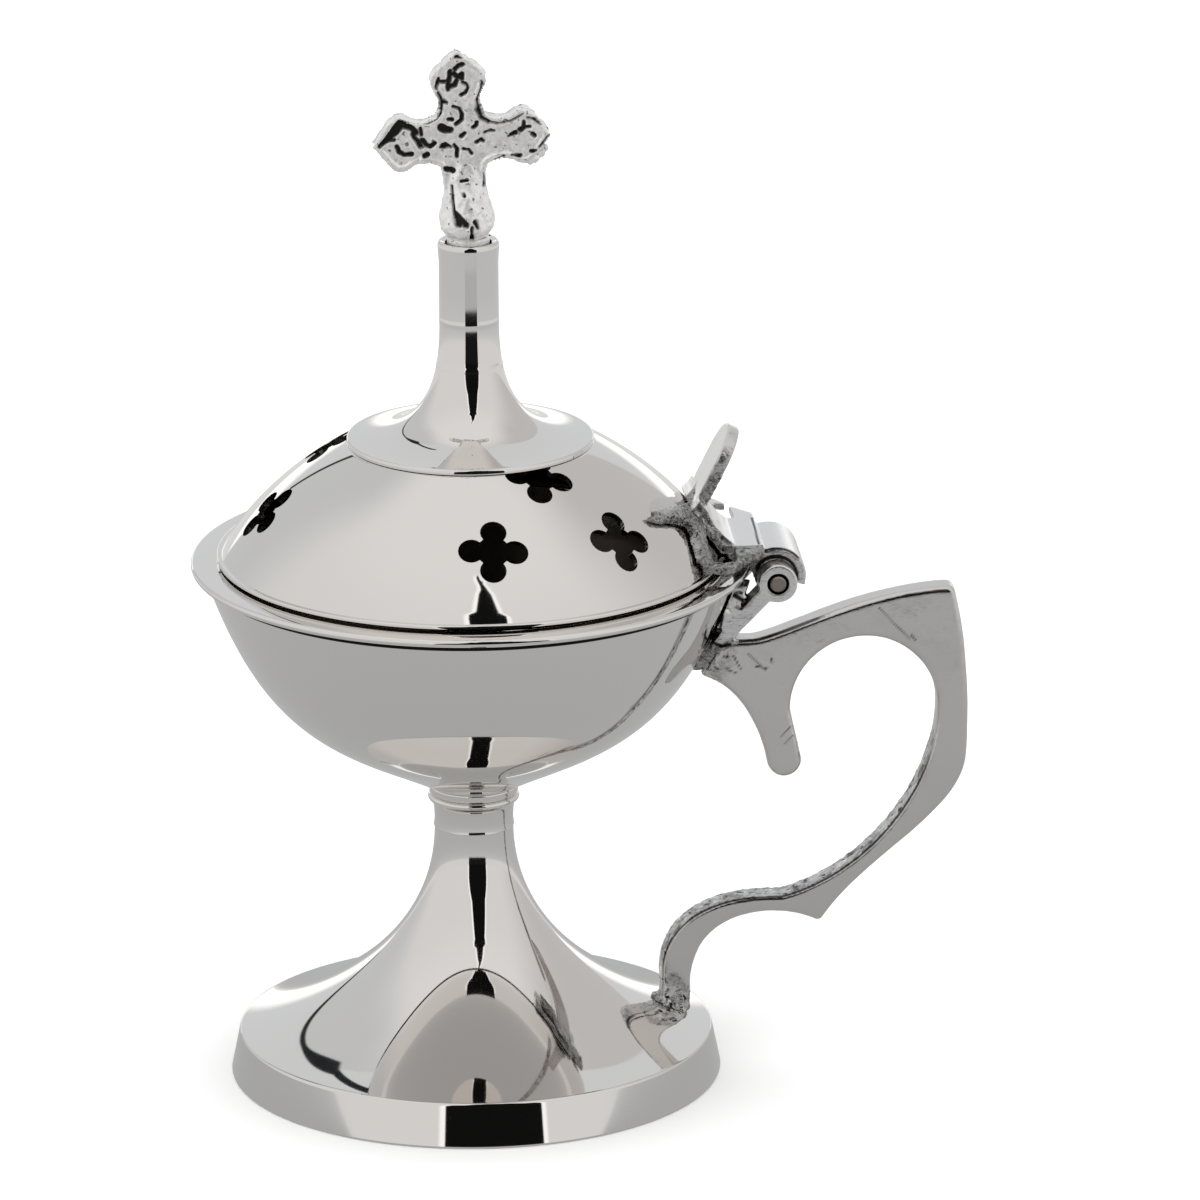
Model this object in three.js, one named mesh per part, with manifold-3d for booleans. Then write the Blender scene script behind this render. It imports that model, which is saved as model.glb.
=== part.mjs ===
// Standing censer: a covered bowl on a trumpet foot, with a hinged, pierced lid and a side handle.
// Millimetres, +Z up. The foot stands on z = 0, its axis is the Z axis, and the handle is on +X.
import * as THREE from 'three';
import { mergeVertices } from 'three/addons/utils/BufferGeometryUtils.js';
import Module from 'manifold-3d';

const wasm = await Module();
wasm.setup();

// Clearances and facets
const brazeGap = 0.3; // left for solder between a casting and the curved wall it sits on
const lidGap = 0.3; // between the closed lid and the rim of the bowl
const hingeGap = 0.3; // at each end of the middle knuckle, and around it
const pinClearance = 0.08; // radial, around the hinge pin
const threadClearance = 0.15; // radial, around a bolt or rod
const edgeRounding = 0.35;
const roundFacets = 44; // around the spun bodies
const tubeFacets = 28; // around the spire
const smallFacets = 20; // around pins, bolts and knuckles
const overrun = 1; // how far a cutting tool stands past what it cuts

// Foot
const footRadius = 34.9;
const footHeight = 41.4;
const footWall = 1.1;
const bandHeight = 6.3;
const bandTaper = 0.9; // radius lost from the bottom of the band to its top
const hemWidth = 2.6; // flat turned-in edge that the foot stands on
const neckRadius = 5.6; // at the waist
const neckMouthRadius = 6.45; // flared top edge
const neckWaistHeight = 36.5;
const flareLength = 21.5; // how far the neck reaches down into the flare
const shoulderRun = 3; // short fall of the flare just inside the band
const shoulderRise = 0.95;

// Bolted joint between foot and bowl
const collarRadius = 6.4;
const collarHeight = 1.3;
const boltRadius = 2;
const boltHeadRadius = 4.2;
const boltHeadHeight = 2.2;
const boltTail = 1.5; // thread past the nut
const stemNutHeight = 3;
const stemNutFlats = 7;
const stemWasherRadius = 4;
const washerThickness = 0.8;

// Bowl
const bowlRadius = 37.9; // outside, just under the rim
const bowlHeight = 32.5; // from the collar to the underside of the rim
const bowlWall = 1.2;
const bowlSeatRadius = 6.5; // flat underside on the collar
const bowlSweep = 14.8; // how far the underside runs outward before it turns up
const bowlBelly = 8.2; // height over the collar at which it turns up, and its inset from the side
const rimOverhang = 1.7;
const rimThickness = 1.1;
const rimLedge = 2.9; // from the outside of the wall in to the mouth

// Lid
const lidSeat = 0.9; // how far the lid's edge lies over the rim
const lidEdgeThickness = 0.7;
const lidEdgeStep = 0.7; // width of the small step around the dome
const lidHeight = 16.8; // from the underside of the edge to the flat top
const lidWall = 1;
const lidTopRadius = 17.2; // flat seat for the spire
const lidShoulderInset = 7.2; // from the edge to where the flank turns over towards the top
const lidShoulderHeight = 10.7; // above the underside of the edge

// Quatrefoil piercings, cut by hand in groups of two low and one high; angles in degrees, the
// azimuth counted from the handle
const piercingGroups = [
  { azimuth: -68.3, highShift: 5, highOutset: 1.5 },
  { azimuth: 166.5, highShift: -2.9, highOutset: 3.2 },
  { azimuth: 52, highShift: 2, highOutset: 2 },
]; // the outset of the high one is from the flat top of the lid
const lowSpread = 39; // between the two low ones of a group
const lowInsets = [7.7, 6.7]; // from the edge of the lid, measured flat
const lowTwists = [-5, -16]; // each turned a little in its own plane
const highTwist = -26;
const lobeRadius = 1.85;
const lobeOffset = 3.05; // from the middle of a piercing to the middle of a lobe
const coreRadius = 2.35; // round middle of a piercing
const lobeSteps = 4;

// Spire
const spireHeight = 29.2;
const spireTubeRadius = 4.2;
const spireWall = 0.9;
const spireBaseThickness = 0.7;
const spireBaseMargin = 0.2; // flat foot of the spire past the flat top of the lid
const spireLip = 0.15; // flare at the mouth
const spireFlareRun = 8.7; // reach of the flat foot of the spire towards the axis
const spireFlareRise = 17; // height over which the flare becomes a tube
const spireThroatHeight = 5; // where the flare turns upright

// Finial
const crossArm = 12.35; // from the crossing to a tip
const crossTop = 12.7;
const crossDepth = 14.2; // from the seat in the mouth of the spire to the crossing
const crossThickness = 2.8;
const crossBevel = 0.5;
const crossTurn = -2; // degrees about the upright axis
const crossLean = -3.2; // degrees, towards the side away from the handle
const crossLift = 0.5; // seat of the baluster above the mouth
const armCorner = 3.4; // from the crossing to the corner between two arms, along each
const armWaist = 2.8; // half width beside the crossing
const armWaistAt = 5.9; // from the crossing to the narrowest place
const armLobe = 3.8; // half width at the leaf-shaped end
const armLobeAt = 8.3; // from the crossing to the widest place
const armShoulder = 2; // length of the full end past the widest place
const balusterRadius = 3.9;
const balusterFoot = 3.05; // half width at the mouth of the spire
const balusterNeck = 2.9; // half width under the cross
const balusterLength = 7.6;
const plugDepth = 3;
const rodRadius = 1.5;
const rodGrip = 2; // of the rod's end in the plug
const rodTail = 1.2;
const lidNutHeight = 2.4;
const lidNutFlats = 5.5;
const lidWasherRadius = 4.2;

// Hinge
const pinRadius = 1.2;
const pinStandOut = 0.2; // peened end past the ear
const knuckleRadius = 2.9; // ears, and the underside of the middle knuckle
const knuckleLength = 12.8;
const hoodRadius = 4.35; // top and outside of the middle knuckle
const hoodDrop = 20; // degrees that the hood reaches below the level of the pin
const earThickness = 3.4;
const pinDrop = 2.45; // pin centre below the top of the rim

// Lid bracket and thumb lever; insets are from the edge of the lid
const saddleThickness = 1.2;
const saddleInset = 6.6; // middle of the saddle's upper edge
const hornInset = 12.3; // point of a horn
const hornWidth = 15.9; // from the middle of the lever to the point of the near horn
const farHornInset = 8.4; // the other horn is a stump
const farHornWidth = 8;
const saddleWaist = 11.2; // half width under the horns
const saddleWaistInset = 6.6;
const saddleFootWidth = 16.5; // half width at the edge of the lid
const saddleFootInset = 4.6;
const wingThickness = 1.5;
const wingShoulder = 12.5; // half width over the rim
const wingEndWidth = 2.6; // of each wing past the knuckle
const wingEndInset = 1.8; // from the end of a wing to the pin
const leverLength = 13.2; // from the surface of the lid to the tip
const leverWidth = 9;
const leverRootWidth = 6.8;
const leverThickness = 1.8;
const leverBevel = 0.4;
const leverLean = 26.5; // degrees outward
const leverInset = 4.6;
const armHeel = 2.4; // reach of the hinge arm behind the lever
const armToe = 2.1; // rise of the hinge arm up the foot of the lever
const armSpan = 5.7; // level top of the hinge arm, back from the pin
const windowInset = 2.6; // opening on each side, between the arm and the wing
const windowLength = 3.6; // outward, over the edge of the lid and the rim
const windowWidth = 5.8; // from the arm to the wing at the inner end
const windowNarrowing = 1.5; // lost of that width at the outer end
const windowMargin = 0.6; // from the side of the arm

// Bowl bracket
const padThickness = 2;
const padBottom = 17; // below the top of the rim
const padTop = 2.6; // below the top of the rim
const padFootWidth = 3.4; // half width at its lower end
const padSpread = 6; // height over which it reaches its full width
const strapWidth = 1; // of the leg under each ear, where it leaves the bowl
const strapFront = 25; // degrees behind the lowest point of the ear, to the leg's outer edge
const strapBack = 65; // and to its inner edge
const strapFoot = 11.5; // where the leg meets the pad, below the top of the rim

// Handle
const handleThickness = 4.4;
const handleBevel = 0.35;
const handleReach = 32.3; // from the side of the bowl to the outside of the grip
const handleTopDrop = 6.1; // from the top of the rim to the pointed corner
const cornerInset = 1.9; // of that corner from the outside of the grip
const gripWidth = 4.2;
const gripBulge = 0.5; // pull of the grip outward beside the finger hole
const gripDrop = 7; // from the middle of the finger hole to where the grip turns under
const gripPull = 9.1; // downward at that turn
const fingerRadius = 10.5;
const fingerDrop = 23.7; // from the top of the rim to the middle of the finger hole
const spurLength = 10; // below the middle of the finger hole
const spurWidth = 4.9; // across its round end
const spurHook = 1.6; // how far that end leans under the finger hole
const spurRootWidth = 5.8; // from the finger hole to the hollow between spur and root
const spurFillet = 2.2; // drop of that hollow under the root
const handleRootDrop = 13.1; // from the top of the rim to the top of the root
const handleRootHeight = 5;
const handleRootReach = 6; // of the root under the side of the bowl, which cuts it back
const handleShelf = 2; // level top of the root past the side of the bowl
const shelfRise = 0.8; // pull of the top edge over the root
const heelInset = 21; // outer cusp over the leg, from the outside of the grip
const heelRise = 14.3; // of that cusp above the band of the foot
const heelRun = 6.3; // pull of the grip's outer edge towards the cusp, outward
const heelPull = 10; // and upward
const heelSweep = 8.1; // pull of the inner edge over the cusp, outward
const heelLift = 3.5; // and upward
const legWidth = 4.2;
const legInset = 6.4; // from the edge of the foot to the middle of the leg
const legFoot = 5; // straight outer edge at the bottom of the leg
const legStraight = 7.5; // straight inner edge
const archRun = 5.5; // from the cusp back to the arch over the leg
const archRise = 3.2; // of the outer edge of the arch over the cusp
const archCrown = 0.8; // swell of its inner edge

// Heights and radii that follow
const collarTop = footHeight + collarHeight;
const bowlFloor = collarTop + bowlWall;
const rimTop = collarTop + bowlHeight + rimThickness;
const rimRadius = bowlRadius + rimOverhang;
const mouthRadius = bowlRadius - rimLedge;
const lidBase = rimTop + lidGap;
const lidRadius = mouthRadius + lidSeat;
const lidTop = lidBase + lidHeight;
const lidCeiling = lidTop - lidWall;
const spireRadius = lidTopRadius + spireBaseMargin;
const spireTop = lidTop + spireHeight;
const spireBore = spireTubeRadius - spireWall;
const boltHoleRadius = boltRadius + threadClearance;
const rodHoleRadius = rodRadius + threadClearance;
const pinZ = rimTop - pinDrop;
const pinX = rimRadius
  + Math.sqrt((knuckleRadius + hingeGap) ** 2 - (pinDrop - rimThickness) ** 2);
const halfKnuckle = knuckleLength / 2;
const earInside = halfKnuckle + hingeGap;
const earOutside = earInside + earThickness;
const stemNutBase = footHeight - footWall - washerThickness - stemNutHeight;
const lidNutBase = lidCeiling - washerThickness - lidNutHeight;
const rodTop = spireTop - plugDepth + rodGrip;
const leverRoot = lidRadius - leverInset;

const point = (x, y) => new THREE.Vector2(x, y);
const toRadians = THREE.MathUtils.degToRad;

// Closed mesh with shared corners, no empty faces, and its faces pointing out
function weld(geometry) {
  const bare = new THREE.BufferGeometry();
  bare.setAttribute('position', geometry.getAttribute('position'));
  bare.setIndex(geometry.index);
  const welded = mergeVertices(bare);
  const position = welded.getAttribute('position');
  const corners = [new THREE.Vector3(), new THREE.Vector3(), new THREE.Vector3()];
  const faces = [];
  let volume = 0;
  for (let start = 0; start < welded.index.count; start += 3) {
    const face = corners.map((_, k) => welded.index.getX(start + k));
    if (new Set(face).size === 3) {
      corners.forEach((corner, k) => corner.fromBufferAttribute(position, face[k]));
      volume += corners[0].dot(corners[1].cross(corners[2]));
      faces.push(face);
    }
  }
  welded.setIndex(faces.flatMap(([a, b, c]) => (volume < 0 ? [a, c, b] : [a, b, c])));
  return welded;
}

// Solids for joining and cutting, and back to a geometry
function solid(geometry) {
  const welded = weld(geometry);
  return new wasm.Manifold(new wasm.Mesh({
    numProp: 3,
    vertProperties: new Float32Array(welded.getAttribute('position').array),
    triVerts: new Uint32Array(welded.index.array),
  }));
}

function shape(body) {
  const { numProp, vertProperties, triVerts } = body.getMesh();
  const geometry = new THREE.BufferGeometry();
  geometry.setAttribute('position', new THREE.BufferAttribute(vertProperties, numProp));
  geometry.setIndex([...triVerts]);
  return geometry;
}

const join = (...bodies) => bodies.reduce((whole, body) => whole.add(body));
const cut = (body, ...tools) => tools.reduce((rest, tool) => rest.subtract(tool), body);

// Body of revolution about Z from a profile of (radius, height) points that closes on itself
function spun(profile, facets = roundFacets) {
  return weld(new THREE.LatheGeometry([...profile, profile[0]], facets).rotateX(Math.PI / 2));
}

// Plate from an outline in X and Z, spread over y from low to high, with softened edges
function plateXZ(outline, low, high, bevel = 0, steps = 8) {
  const geometry = new THREE.ExtrudeGeometry(outline, {
    depth: high - low - 2 * bevel,
    bevelEnabled: bevel > 0,
    bevelThickness: bevel,
    bevelSize: bevel,
    bevelOffset: -bevel,
    bevelSegments: 1,
    curveSegments: steps,
  });
  return geometry.rotateX(Math.PI / 2).translate(0, high - bevel, 0);
}

// Upright prism from an outline in plan
function prismXY(points, low, high) {
  const geometry = new THREE.ExtrudeGeometry(new THREE.Shape(points), {
    depth: high - low,
    bevelEnabled: false,
  });
  return geometry.translate(0, 0, low);
}

// Cylinder along Y
function barrel(radius, low, high, x, z, facets = smallFacets) {
  const geometry = new THREE.CylinderGeometry(radius, radius, high - low, facets);
  return geometry.translate(x, (low + high) / 2, z);
}

// Cylinder along Z
function post(radius, low, high, facets = smallFacets) {
  const geometry = new THREE.CylinderGeometry(radius, radius, high - low, facets);
  return geometry.rotateX(Math.PI / 2).translate(0, 0, (low + high) / 2);
}

// Points on one side of the X axis, followed by their mirror images in reverse order
function mirrored(half) {
  return [...half, ...half.filter((at) => at.y > 0).reverse().map((at) => point(at.x, -at.y))];
}

// A curve of points moved sideways: to the left of its run for a positive distance
function moved(points, distance) {
  return points.map((at, k) => {
    const before = points[Math.max(k - 1, 0)];
    const after = points[Math.min(k + 1, points.length - 1)];
    const run = after.clone().sub(before).normalize();
    return point(at.x - run.y * distance, at.y + run.x * distance);
  });
}

// Height of a rising or falling curve of points at a radius
function heightAt(points, radius) {
  const next = points.findIndex((at, k) => k > 0
    && (at.x - radius) * (points[k - 1].x - radius) <= 0);
  const [a, b] = [points[next - 1], points[next]];
  return a.y + ((radius - a.x) / (b.x - a.x)) * (b.y - a.y);
}

// Foot: outer curve from the band up to the mouth of the neck
const bandTop = point(footRadius - bandTaper, bandHeight);
const flare = new THREE.CubicBezierCurve(
  bandTop,
  point(bandTop.x - shoulderRun, bandTop.y + shoulderRise),
  point(neckRadius, neckWaistHeight - flareLength),
  point(neckRadius, neckWaistHeight),
);
const neck = new THREE.QuadraticBezierCurve(
  point(neckRadius, neckWaistHeight),
  point(neckRadius, (neckWaistHeight + 2 * footHeight) / 3),
  point(neckMouthRadius, footHeight),
);
const footCurve = [...flare.getPoints(10), ...neck.getPoints(3).slice(1)];

function footProfile() {
  const ceiling = footHeight - footWall;
  const inner = moved([...flare.getPoints(7), point(neckRadius, ceiling)], footWall)
    .filter((at) => at.x < bandTop.x - footWall && at.y > bandTop.y);
  const hemRadius = footRadius - hemWidth;
  return [
    point(footRadius - edgeRounding, 0),
    point(footRadius, edgeRounding),
    ...footCurve,
    point(boltHoleRadius, footHeight),
    point(boltHoleRadius, ceiling),
    ...inner.reverse(),
    point(bandTop.x - footWall, bandTop.y - footWall),
    point(footRadius - footWall, footWall),
    point(hemRadius, footWall),
    point(hemRadius, 0),
  ];
}

// Bowl: outer curve from the collar up to the rim
const bowlSide = new THREE.CubicBezierCurve(
  point(bowlSeatRadius, collarTop),
  point(bowlSeatRadius + bowlSweep, collarTop + bowlBelly),
  point(bowlRadius - bowlBelly, collarTop + bowlBelly),
  point(bowlRadius, collarTop + bowlHeight),
);
const bowlCurve = bowlSide.getPoints(11);

function bowlProfile() {
  const inner = moved(bowlSide.getPoints(8), bowlWall)
    .filter((at) => at.y > bowlFloor && at.x < mouthRadius);
  return [
    point(boltHoleRadius, collarTop),
    ...bowlCurve,
    point(rimRadius - edgeRounding, rimTop - rimThickness),
    point(rimRadius, rimTop - rimThickness + edgeRounding),
    point(rimRadius, rimTop - edgeRounding),
    point(rimRadius - edgeRounding, rimTop),
    point(mouthRadius + edgeRounding, rimTop),
    point(mouthRadius, rimTop - edgeRounding),
    ...inner.reverse(),
    point(bowlSeatRadius - bowlWall, bowlFloor),
    point(boltHoleRadius, bowlFloor),
  ];
}

// Everything inside the outer curve of the bowl grown by a distance, for trimming what sits on it
function bowlCore(growth) {
  const skin = moved(bowlCurve, -growth).filter((at) => at.y > collarTop);
  return solid(spun([
    point(0, collarTop),
    point(skin[0].x, collarTop),
    ...skin,
    point(0, skin.at(-1).y),
  ]));
}

// Lid: outer curve from its edge up to the flat seat of the spire
const dome = new THREE.QuadraticBezierCurve(
  point(lidRadius - lidEdgeStep, lidBase + lidEdgeThickness),
  point(lidRadius - lidShoulderInset, lidBase + lidShoulderHeight),
  point(lidTopRadius, lidTop),
);
const domeCurve = dome.getPoints(7);
const domeSkin = [...domeCurve, point(0, lidTop)];

function lidProfile() {
  const inner = moved(dome.getPoints(5), lidWall)
    .filter((at) => at.y > lidBase && at.y < lidCeiling);
  return [
    point(lidRadius - edgeRounding, lidBase),
    point(lidRadius, lidBase + edgeRounding),
    point(lidRadius, lidBase + lidEdgeThickness),
    ...domeCurve,
    point(rodHoleRadius, lidTop),
    point(rodHoleRadius, lidCeiling),
    point(lidTopRadius - lidWall, lidCeiling),
    ...inner.reverse(),
    point(inner.at(-1).x, lidBase),
  ];
}

// Everything inside the lid grown by a distance, its edge included
function lidCore(growth) {
  const edge = lidRadius + growth;
  const step = lidBase + lidEdgeThickness + growth;
  return solid(spun([
    point(0, lidBase - growth),
    point(edge, lidBase - growth),
    point(edge, step),
    ...moved(domeCurve, -growth).filter((at) => at.x < edge && at.y > step),
    point(0, lidTop + growth),
  ]));
}

// Quatrefoil: four round lobes on a round core
function quatrefoil() {
  const crossing = (lobeOffset ** 2 + coreRadius ** 2 - lobeRadius ** 2) / (2 * lobeOffset);
  const sweep = Math.PI - Math.acos((lobeOffset - crossing) / lobeRadius);
  const points = [];
  for (let lobe = 0; lobe < 4; lobe += 1) {
    const heading = (lobe * Math.PI) / 2;
    const middle = point(lobeOffset, 0).rotateAround(point(0, 0), heading);
    for (let k = 0; k <= lobeSteps; k += 1) {
      const angle = heading - sweep + (2 * sweep * k) / lobeSteps;
      points.push(point(Math.cos(angle), Math.sin(angle)).multiplyScalar(lobeRadius).add(middle));
    }
  }
  return new THREE.Shape(points);
}

// Cutter for one piercing, square to the surface of the lid
function piercing(azimuth, radius, twist) {
  const depth = 4 * (lidWall + overrun);
  const [inside, outside] = [radius - lobeRadius, radius + lobeRadius]
    .map((at) => heightAt(domeSkin, at));
  const geometry = new THREE.ExtrudeGeometry(quatrefoil(), { depth, bevelEnabled: false });
  geometry.translate(0, 0, -depth / 2);
  geometry.rotateZ(toRadians(twist)).rotateY(Math.atan2(inside - outside, 2 * lobeRadius));
  geometry.translate(radius, 0, heightAt(domeSkin, radius));
  return solid(geometry.rotateZ(toRadians(azimuth)));
}

function lid() {
  const cutters = piercingGroups.flatMap(({ azimuth, highShift, highOutset }) => [
    ...lowInsets.map((inset, k) => (
      piercing(azimuth + (k - 0.5) * lowSpread, lidRadius - inset, lowTwists[k]))),
    piercing(azimuth + highShift, lidTopRadius + highOutset, highTwist),
  ]);
  return shape(cut(solid(spun(lidProfile())), ...cutters));
}

// Spire: trumpet tube with a flat spread foot
function spireProfile() {
  const tubeFoot = lidTop + spireFlareRise;
  const outer = new THREE.CubicBezierCurve(
    point(spireRadius, lidTop + spireBaseThickness),
    point(spireRadius - spireFlareRun, lidTop + 2 * spireBaseThickness),
    point(spireTubeRadius, lidTop + spireThroatHeight),
    point(spireTubeRadius, tubeFoot),
  ).getPoints(10);
  const inner = moved(outer, spireWall).filter((at) => at.y > lidTop && at.y < tubeFoot);
  return [
    point(spireRadius, lidTop),
    ...outer,
    point(spireTubeRadius + spireLip, spireTop - edgeRounding),
    point(spireTubeRadius + spireLip - edgeRounding, spireTop),
    point(spireBore, spireTop),
    point(spireBore, tubeFoot),
    ...inner.reverse(),
    point(inner.at(-1).x + spireWall, lidTop),
  ];
}

// Hexagon nut and round washer, bored for their thread
function nut(flats, height, hole, low) {
  const hexagon = post(flats / Math.sqrt(3), low, low + height, 6);
  return shape(cut(solid(hexagon), solid(post(hole, low - overrun, low + height + overrun))));
}

function washer(radius, hole, low) {
  return spun([
    point(hole, low),
    point(radius, low),
    point(radius, low + washerThickness),
    point(hole, low + washerThickness),
  ], smallFacets);
}

function collar() {
  return spun([
    point(boltHoleRadius, footHeight),
    point(collarRadius - edgeRounding, footHeight),
    point(collarRadius, footHeight + edgeRounding),
    point(collarRadius, collarTop - edgeRounding),
    point(collarRadius - edgeRounding, collarTop),
    point(boltHoleRadius, collarTop),
  ]);
}

// Bolt with a low domed head on the floor of the bowl
function bolt() {
  const end = stemNutBase - boltTail;
  const head = new THREE.QuadraticBezierCurve(
    point(boltHeadRadius, bowlFloor + boltHeadHeight / 3),
    point(boltHeadRadius, bowlFloor + boltHeadHeight),
    point(0, bowlFloor + boltHeadHeight),
  ).getPoints(4);
  return spun([
    point(0, end),
    point(boltRadius, end),
    point(boltRadius, bowlFloor),
    point(boltHeadRadius, bowlFloor),
    ...head,
  ], smallFacets);
}

// One arm of the cross pointing along +X from the crossing: waist, leaf-shaped end and tip
function armPoints(length) {
  const side = new THREE.Path()
    .moveTo(armCorner, armCorner)
    .quadraticCurveTo(armWaistAt - armWaist / 2, armWaist, armWaistAt, armWaist)
    .quadraticCurveTo((armWaistAt + armLobeAt) / 2, armWaist, armLobeAt, armLobe)
    .quadraticCurveTo(armLobeAt + armShoulder, armLobe, length, 0)
    .getPoints(3);
  return mirrored(side).reverse();
}

function crossOutline() {
  const points = [[0, crossArm], [90, crossTop], [180, crossArm]].flatMap(([heading, length]) => (
    armPoints(length).map((at) => at.rotateAround(point(0, 0), toRadians(heading)))));
  const stemFoot = balusterLength - crossDepth;
  points.push(point(-balusterNeck, stemFoot), point(balusterNeck, stemFoot));
  return new THREE.Shape(points);
}

// Cross: plate and turned baluster, set with a lean on a straight plug in the mouth of the spire
function cross() {
  const plate = plateXZ(crossOutline(), -crossThickness / 2, crossThickness / 2, crossBevel);
  const sink = 2 * crossLift; // the leaning baluster reaches this far into the plug
  const baluster = spun([
    point(0, -sink),
    point(spireBore - brazeGap, -sink),
    point(balusterFoot, 0),
    ...new THREE.CubicBezierCurve(
      point(balusterFoot, crossLift),
      point(2 * balusterRadius - balusterFoot, balusterLength / 2),
      point(balusterNeck, balusterLength / 2),
      point(balusterNeck, balusterLength),
    ).getPoints(6),
    point(0, balusterLength + crossLift),
  ], smallFacets);
  const upper = join(solid(plate.translate(0, 0, crossDepth)), solid(baluster))
    .rotate([0, crossLean, 0])
    .translate([0, 0, spireTop + crossLift]);
  const plug = solid(post(spireBore - brazeGap, spireTop - plugDepth, spireTop + crossLift));
  const socket = solid(post(rodHoleRadius, spireTop - plugDepth - overrun, rodTop + brazeGap));
  return shape(cut(join(upper, plug), socket).rotate([0, 0, crossTurn]));
}

// Lid bracket, first part: saddle curved to the dome, with a long leaf-shaped horn at the front
function saddle() {
  const middle = lidRadius - saddleInset;
  const waist = lidRadius - saddleWaistInset;
  const foot = lidRadius - saddleFootInset;
  const outside = rimRadius;
  const hollow = (middle + foot - saddleInset) / 2;
  const half = (inset, width) => [
    ...new THREE.Path()
      .moveTo(middle, 0)
      .quadraticCurveTo(middle, width / 2, lidRadius - inset, width)
      .quadraticCurveTo(hollow, (width + saddleWaist) / 2, waist, saddleWaist)
      .quadraticCurveTo(foot, saddleWaist, foot, saddleFootWidth)
      .getPoints(5),
    point(outside, saddleFootWidth),
  ];
  const near = half(hornInset, hornWidth).slice(1).map((at) => point(at.x, -at.y));
  const outline = [...near.reverse(), ...half(farHornInset, farHornWidth)].reverse();
  return solid(prismXY(outline, lidBase, lidTop)).intersect(lidCore(brazeGap + saddleThickness));
}

// Second part: flat wings that reach from the edge of the lid over the rim towards the hinge
function wings() {
  const end = pinX - wingEndInset;
  return solid(prismXY(mirrored([
    point(lidRadius - saddleFootInset, saddleFootWidth),
    point(lidRadius, saddleFootWidth),
    point(rimRadius - rimOverhang, wingShoulder),
    point(end, halfKnuckle + wingEndWidth),
    point(end, halfKnuckle),
  ]), lidBase, lidBase + wingThickness));
}

// Third part: thumb lever, a leaning blade with a round end
function lever() {
  const half = leverWidth / 2;
  const outline = new THREE.Shape()
    .moveTo(-leverRootWidth / 2, -armHeel)
    .lineTo(leverRootWidth / 2, -armHeel)
    .lineTo(half, leverLength - leverWidth)
    .lineTo(half, leverLength - half)
    .absarc(0, leverLength - half, half, 0, Math.PI);
  const blade = plateXZ(outline, -leverThickness / 2, leverThickness / 2, leverBevel);
  blade.rotateZ(Math.PI / 2).rotateY(toRadians(leverLean));
  return solid(blade.translate(leverRoot, 0, heightAt(domeSkin, leverRoot)));
}

// Fourth part: arched arm from the foot of the lever over the rim to the hooded knuckle on the pin
function hingeArm() {
  const rootZ = heightAt(domeSkin, leverRoot);
  const back = leverRoot - armHeel;
  const top = pinZ + hoodRadius;
  const side = new THREE.Shape()
    .moveTo(back, lidBase)
    .lineTo(back, rootZ + armToe)
    .lineTo(leverRoot + armToe, rootZ + armToe)
    .quadraticCurveTo(leverRoot + armHeel, top, pinX - armSpan, top)
    .lineTo(pinX, top)
    .absarc(pinX, pinZ, hoodRadius, Math.PI / 2, -toRadians(hoodDrop), true)
    .lineTo(pinX, pinZ)
    .lineTo(pinX - hingeGap, lidBase);
  const arm = solid(plateXZ(side, -halfKnuckle, halfKnuckle));
  return join(arm, solid(barrel(knuckleRadius, -halfKnuckle, halfKnuckle, pinX, pinZ)));
}

function lidBracket() {
  const near = halfKnuckle + windowMargin;
  const back = lidRadius - windowInset;
  const corners = [
    point(back, near),
    point(back + windowLength, near),
    point(back + windowLength, near + windowWidth - windowNarrowing),
    point(back, near + windowWidth),
  ];
  const windows = [corners, corners.map((at) => point(at.x, -at.y)).reverse()]
    .map((outline) => solid(prismXY(outline, lidBase - overrun, lidTop)));
  return shape(cut(
    join(saddle(), wings(), lever(), hingeArm()),
    lidCore(brazeGap),
    ...windows,
    solid(barrel(pinRadius + pinClearance, -earOutside, earOutside, pinX, pinZ)),
  ));
}

// Bowl bracket: forked pad curved to the side of the bowl, with an ear at each end of the knuckle
function bowlBracket() {
  const low = rimTop - padBottom;
  const high = rimTop - padTop;
  const spread = high - padSpread;
  const fork = new THREE.Shape()
    .moveTo(-padFootWidth, low)
    .lineTo(padFootWidth, low)
    .quadraticCurveTo(padFootWidth, (low + spread) / 2, earOutside, spread)
    .lineTo(earOutside, high)
    .lineTo(-earOutside, high)
    .lineTo(-earOutside, spread)
    .quadraticCurveTo(-padFootWidth, (low + spread) / 2, -padFootWidth, low);
  const prism = new THREE.ExtrudeGeometry(fork, {
    depth: rimRadius,
    bevelEnabled: false,
    curveSegments: 5,
  }).rotateX(Math.PI / 2).rotateZ(Math.PI / 2);
  const pad = solid(prism).intersect(bowlCore(brazeGap + padThickness));
  const footZ = rimTop - strapFoot;
  const footX = heightAt(bowlCurve.map((at) => point(at.y, at.x)), footZ);
  const onEar = (degrees) => point(
    pinX - knuckleRadius * Math.sin(toRadians(degrees)),
    pinZ - knuckleRadius * Math.cos(toRadians(degrees)),
  );
  const side = new THREE.Shape([
    point(footX - padThickness, footZ),
    point(footX + strapWidth, footZ),
    onEar(strapFront),
    point(pinX, pinZ),
    onEar(strapBack),
  ]);
  const ears = [[earInside, earOutside], [-earOutside, -earInside]].map(([from, to]) => join(
    solid(plateXZ(side, from, to)),
    solid(barrel(knuckleRadius, from, to, pinX, pinZ)),
  ));
  const bore = solid(barrel(
    pinRadius + pinClearance,
    -earOutside - overrun,
    earOutside + overrun,
    pinX,
    pinZ,
  ));
  return shape(cut(
    join(pad, ...ears),
    bowlCore(brazeGap),
    solid(barrel(hoodRadius + hingeGap, -earInside, earInside, pinX, pinZ)),
    bore,
  ));
}

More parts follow.
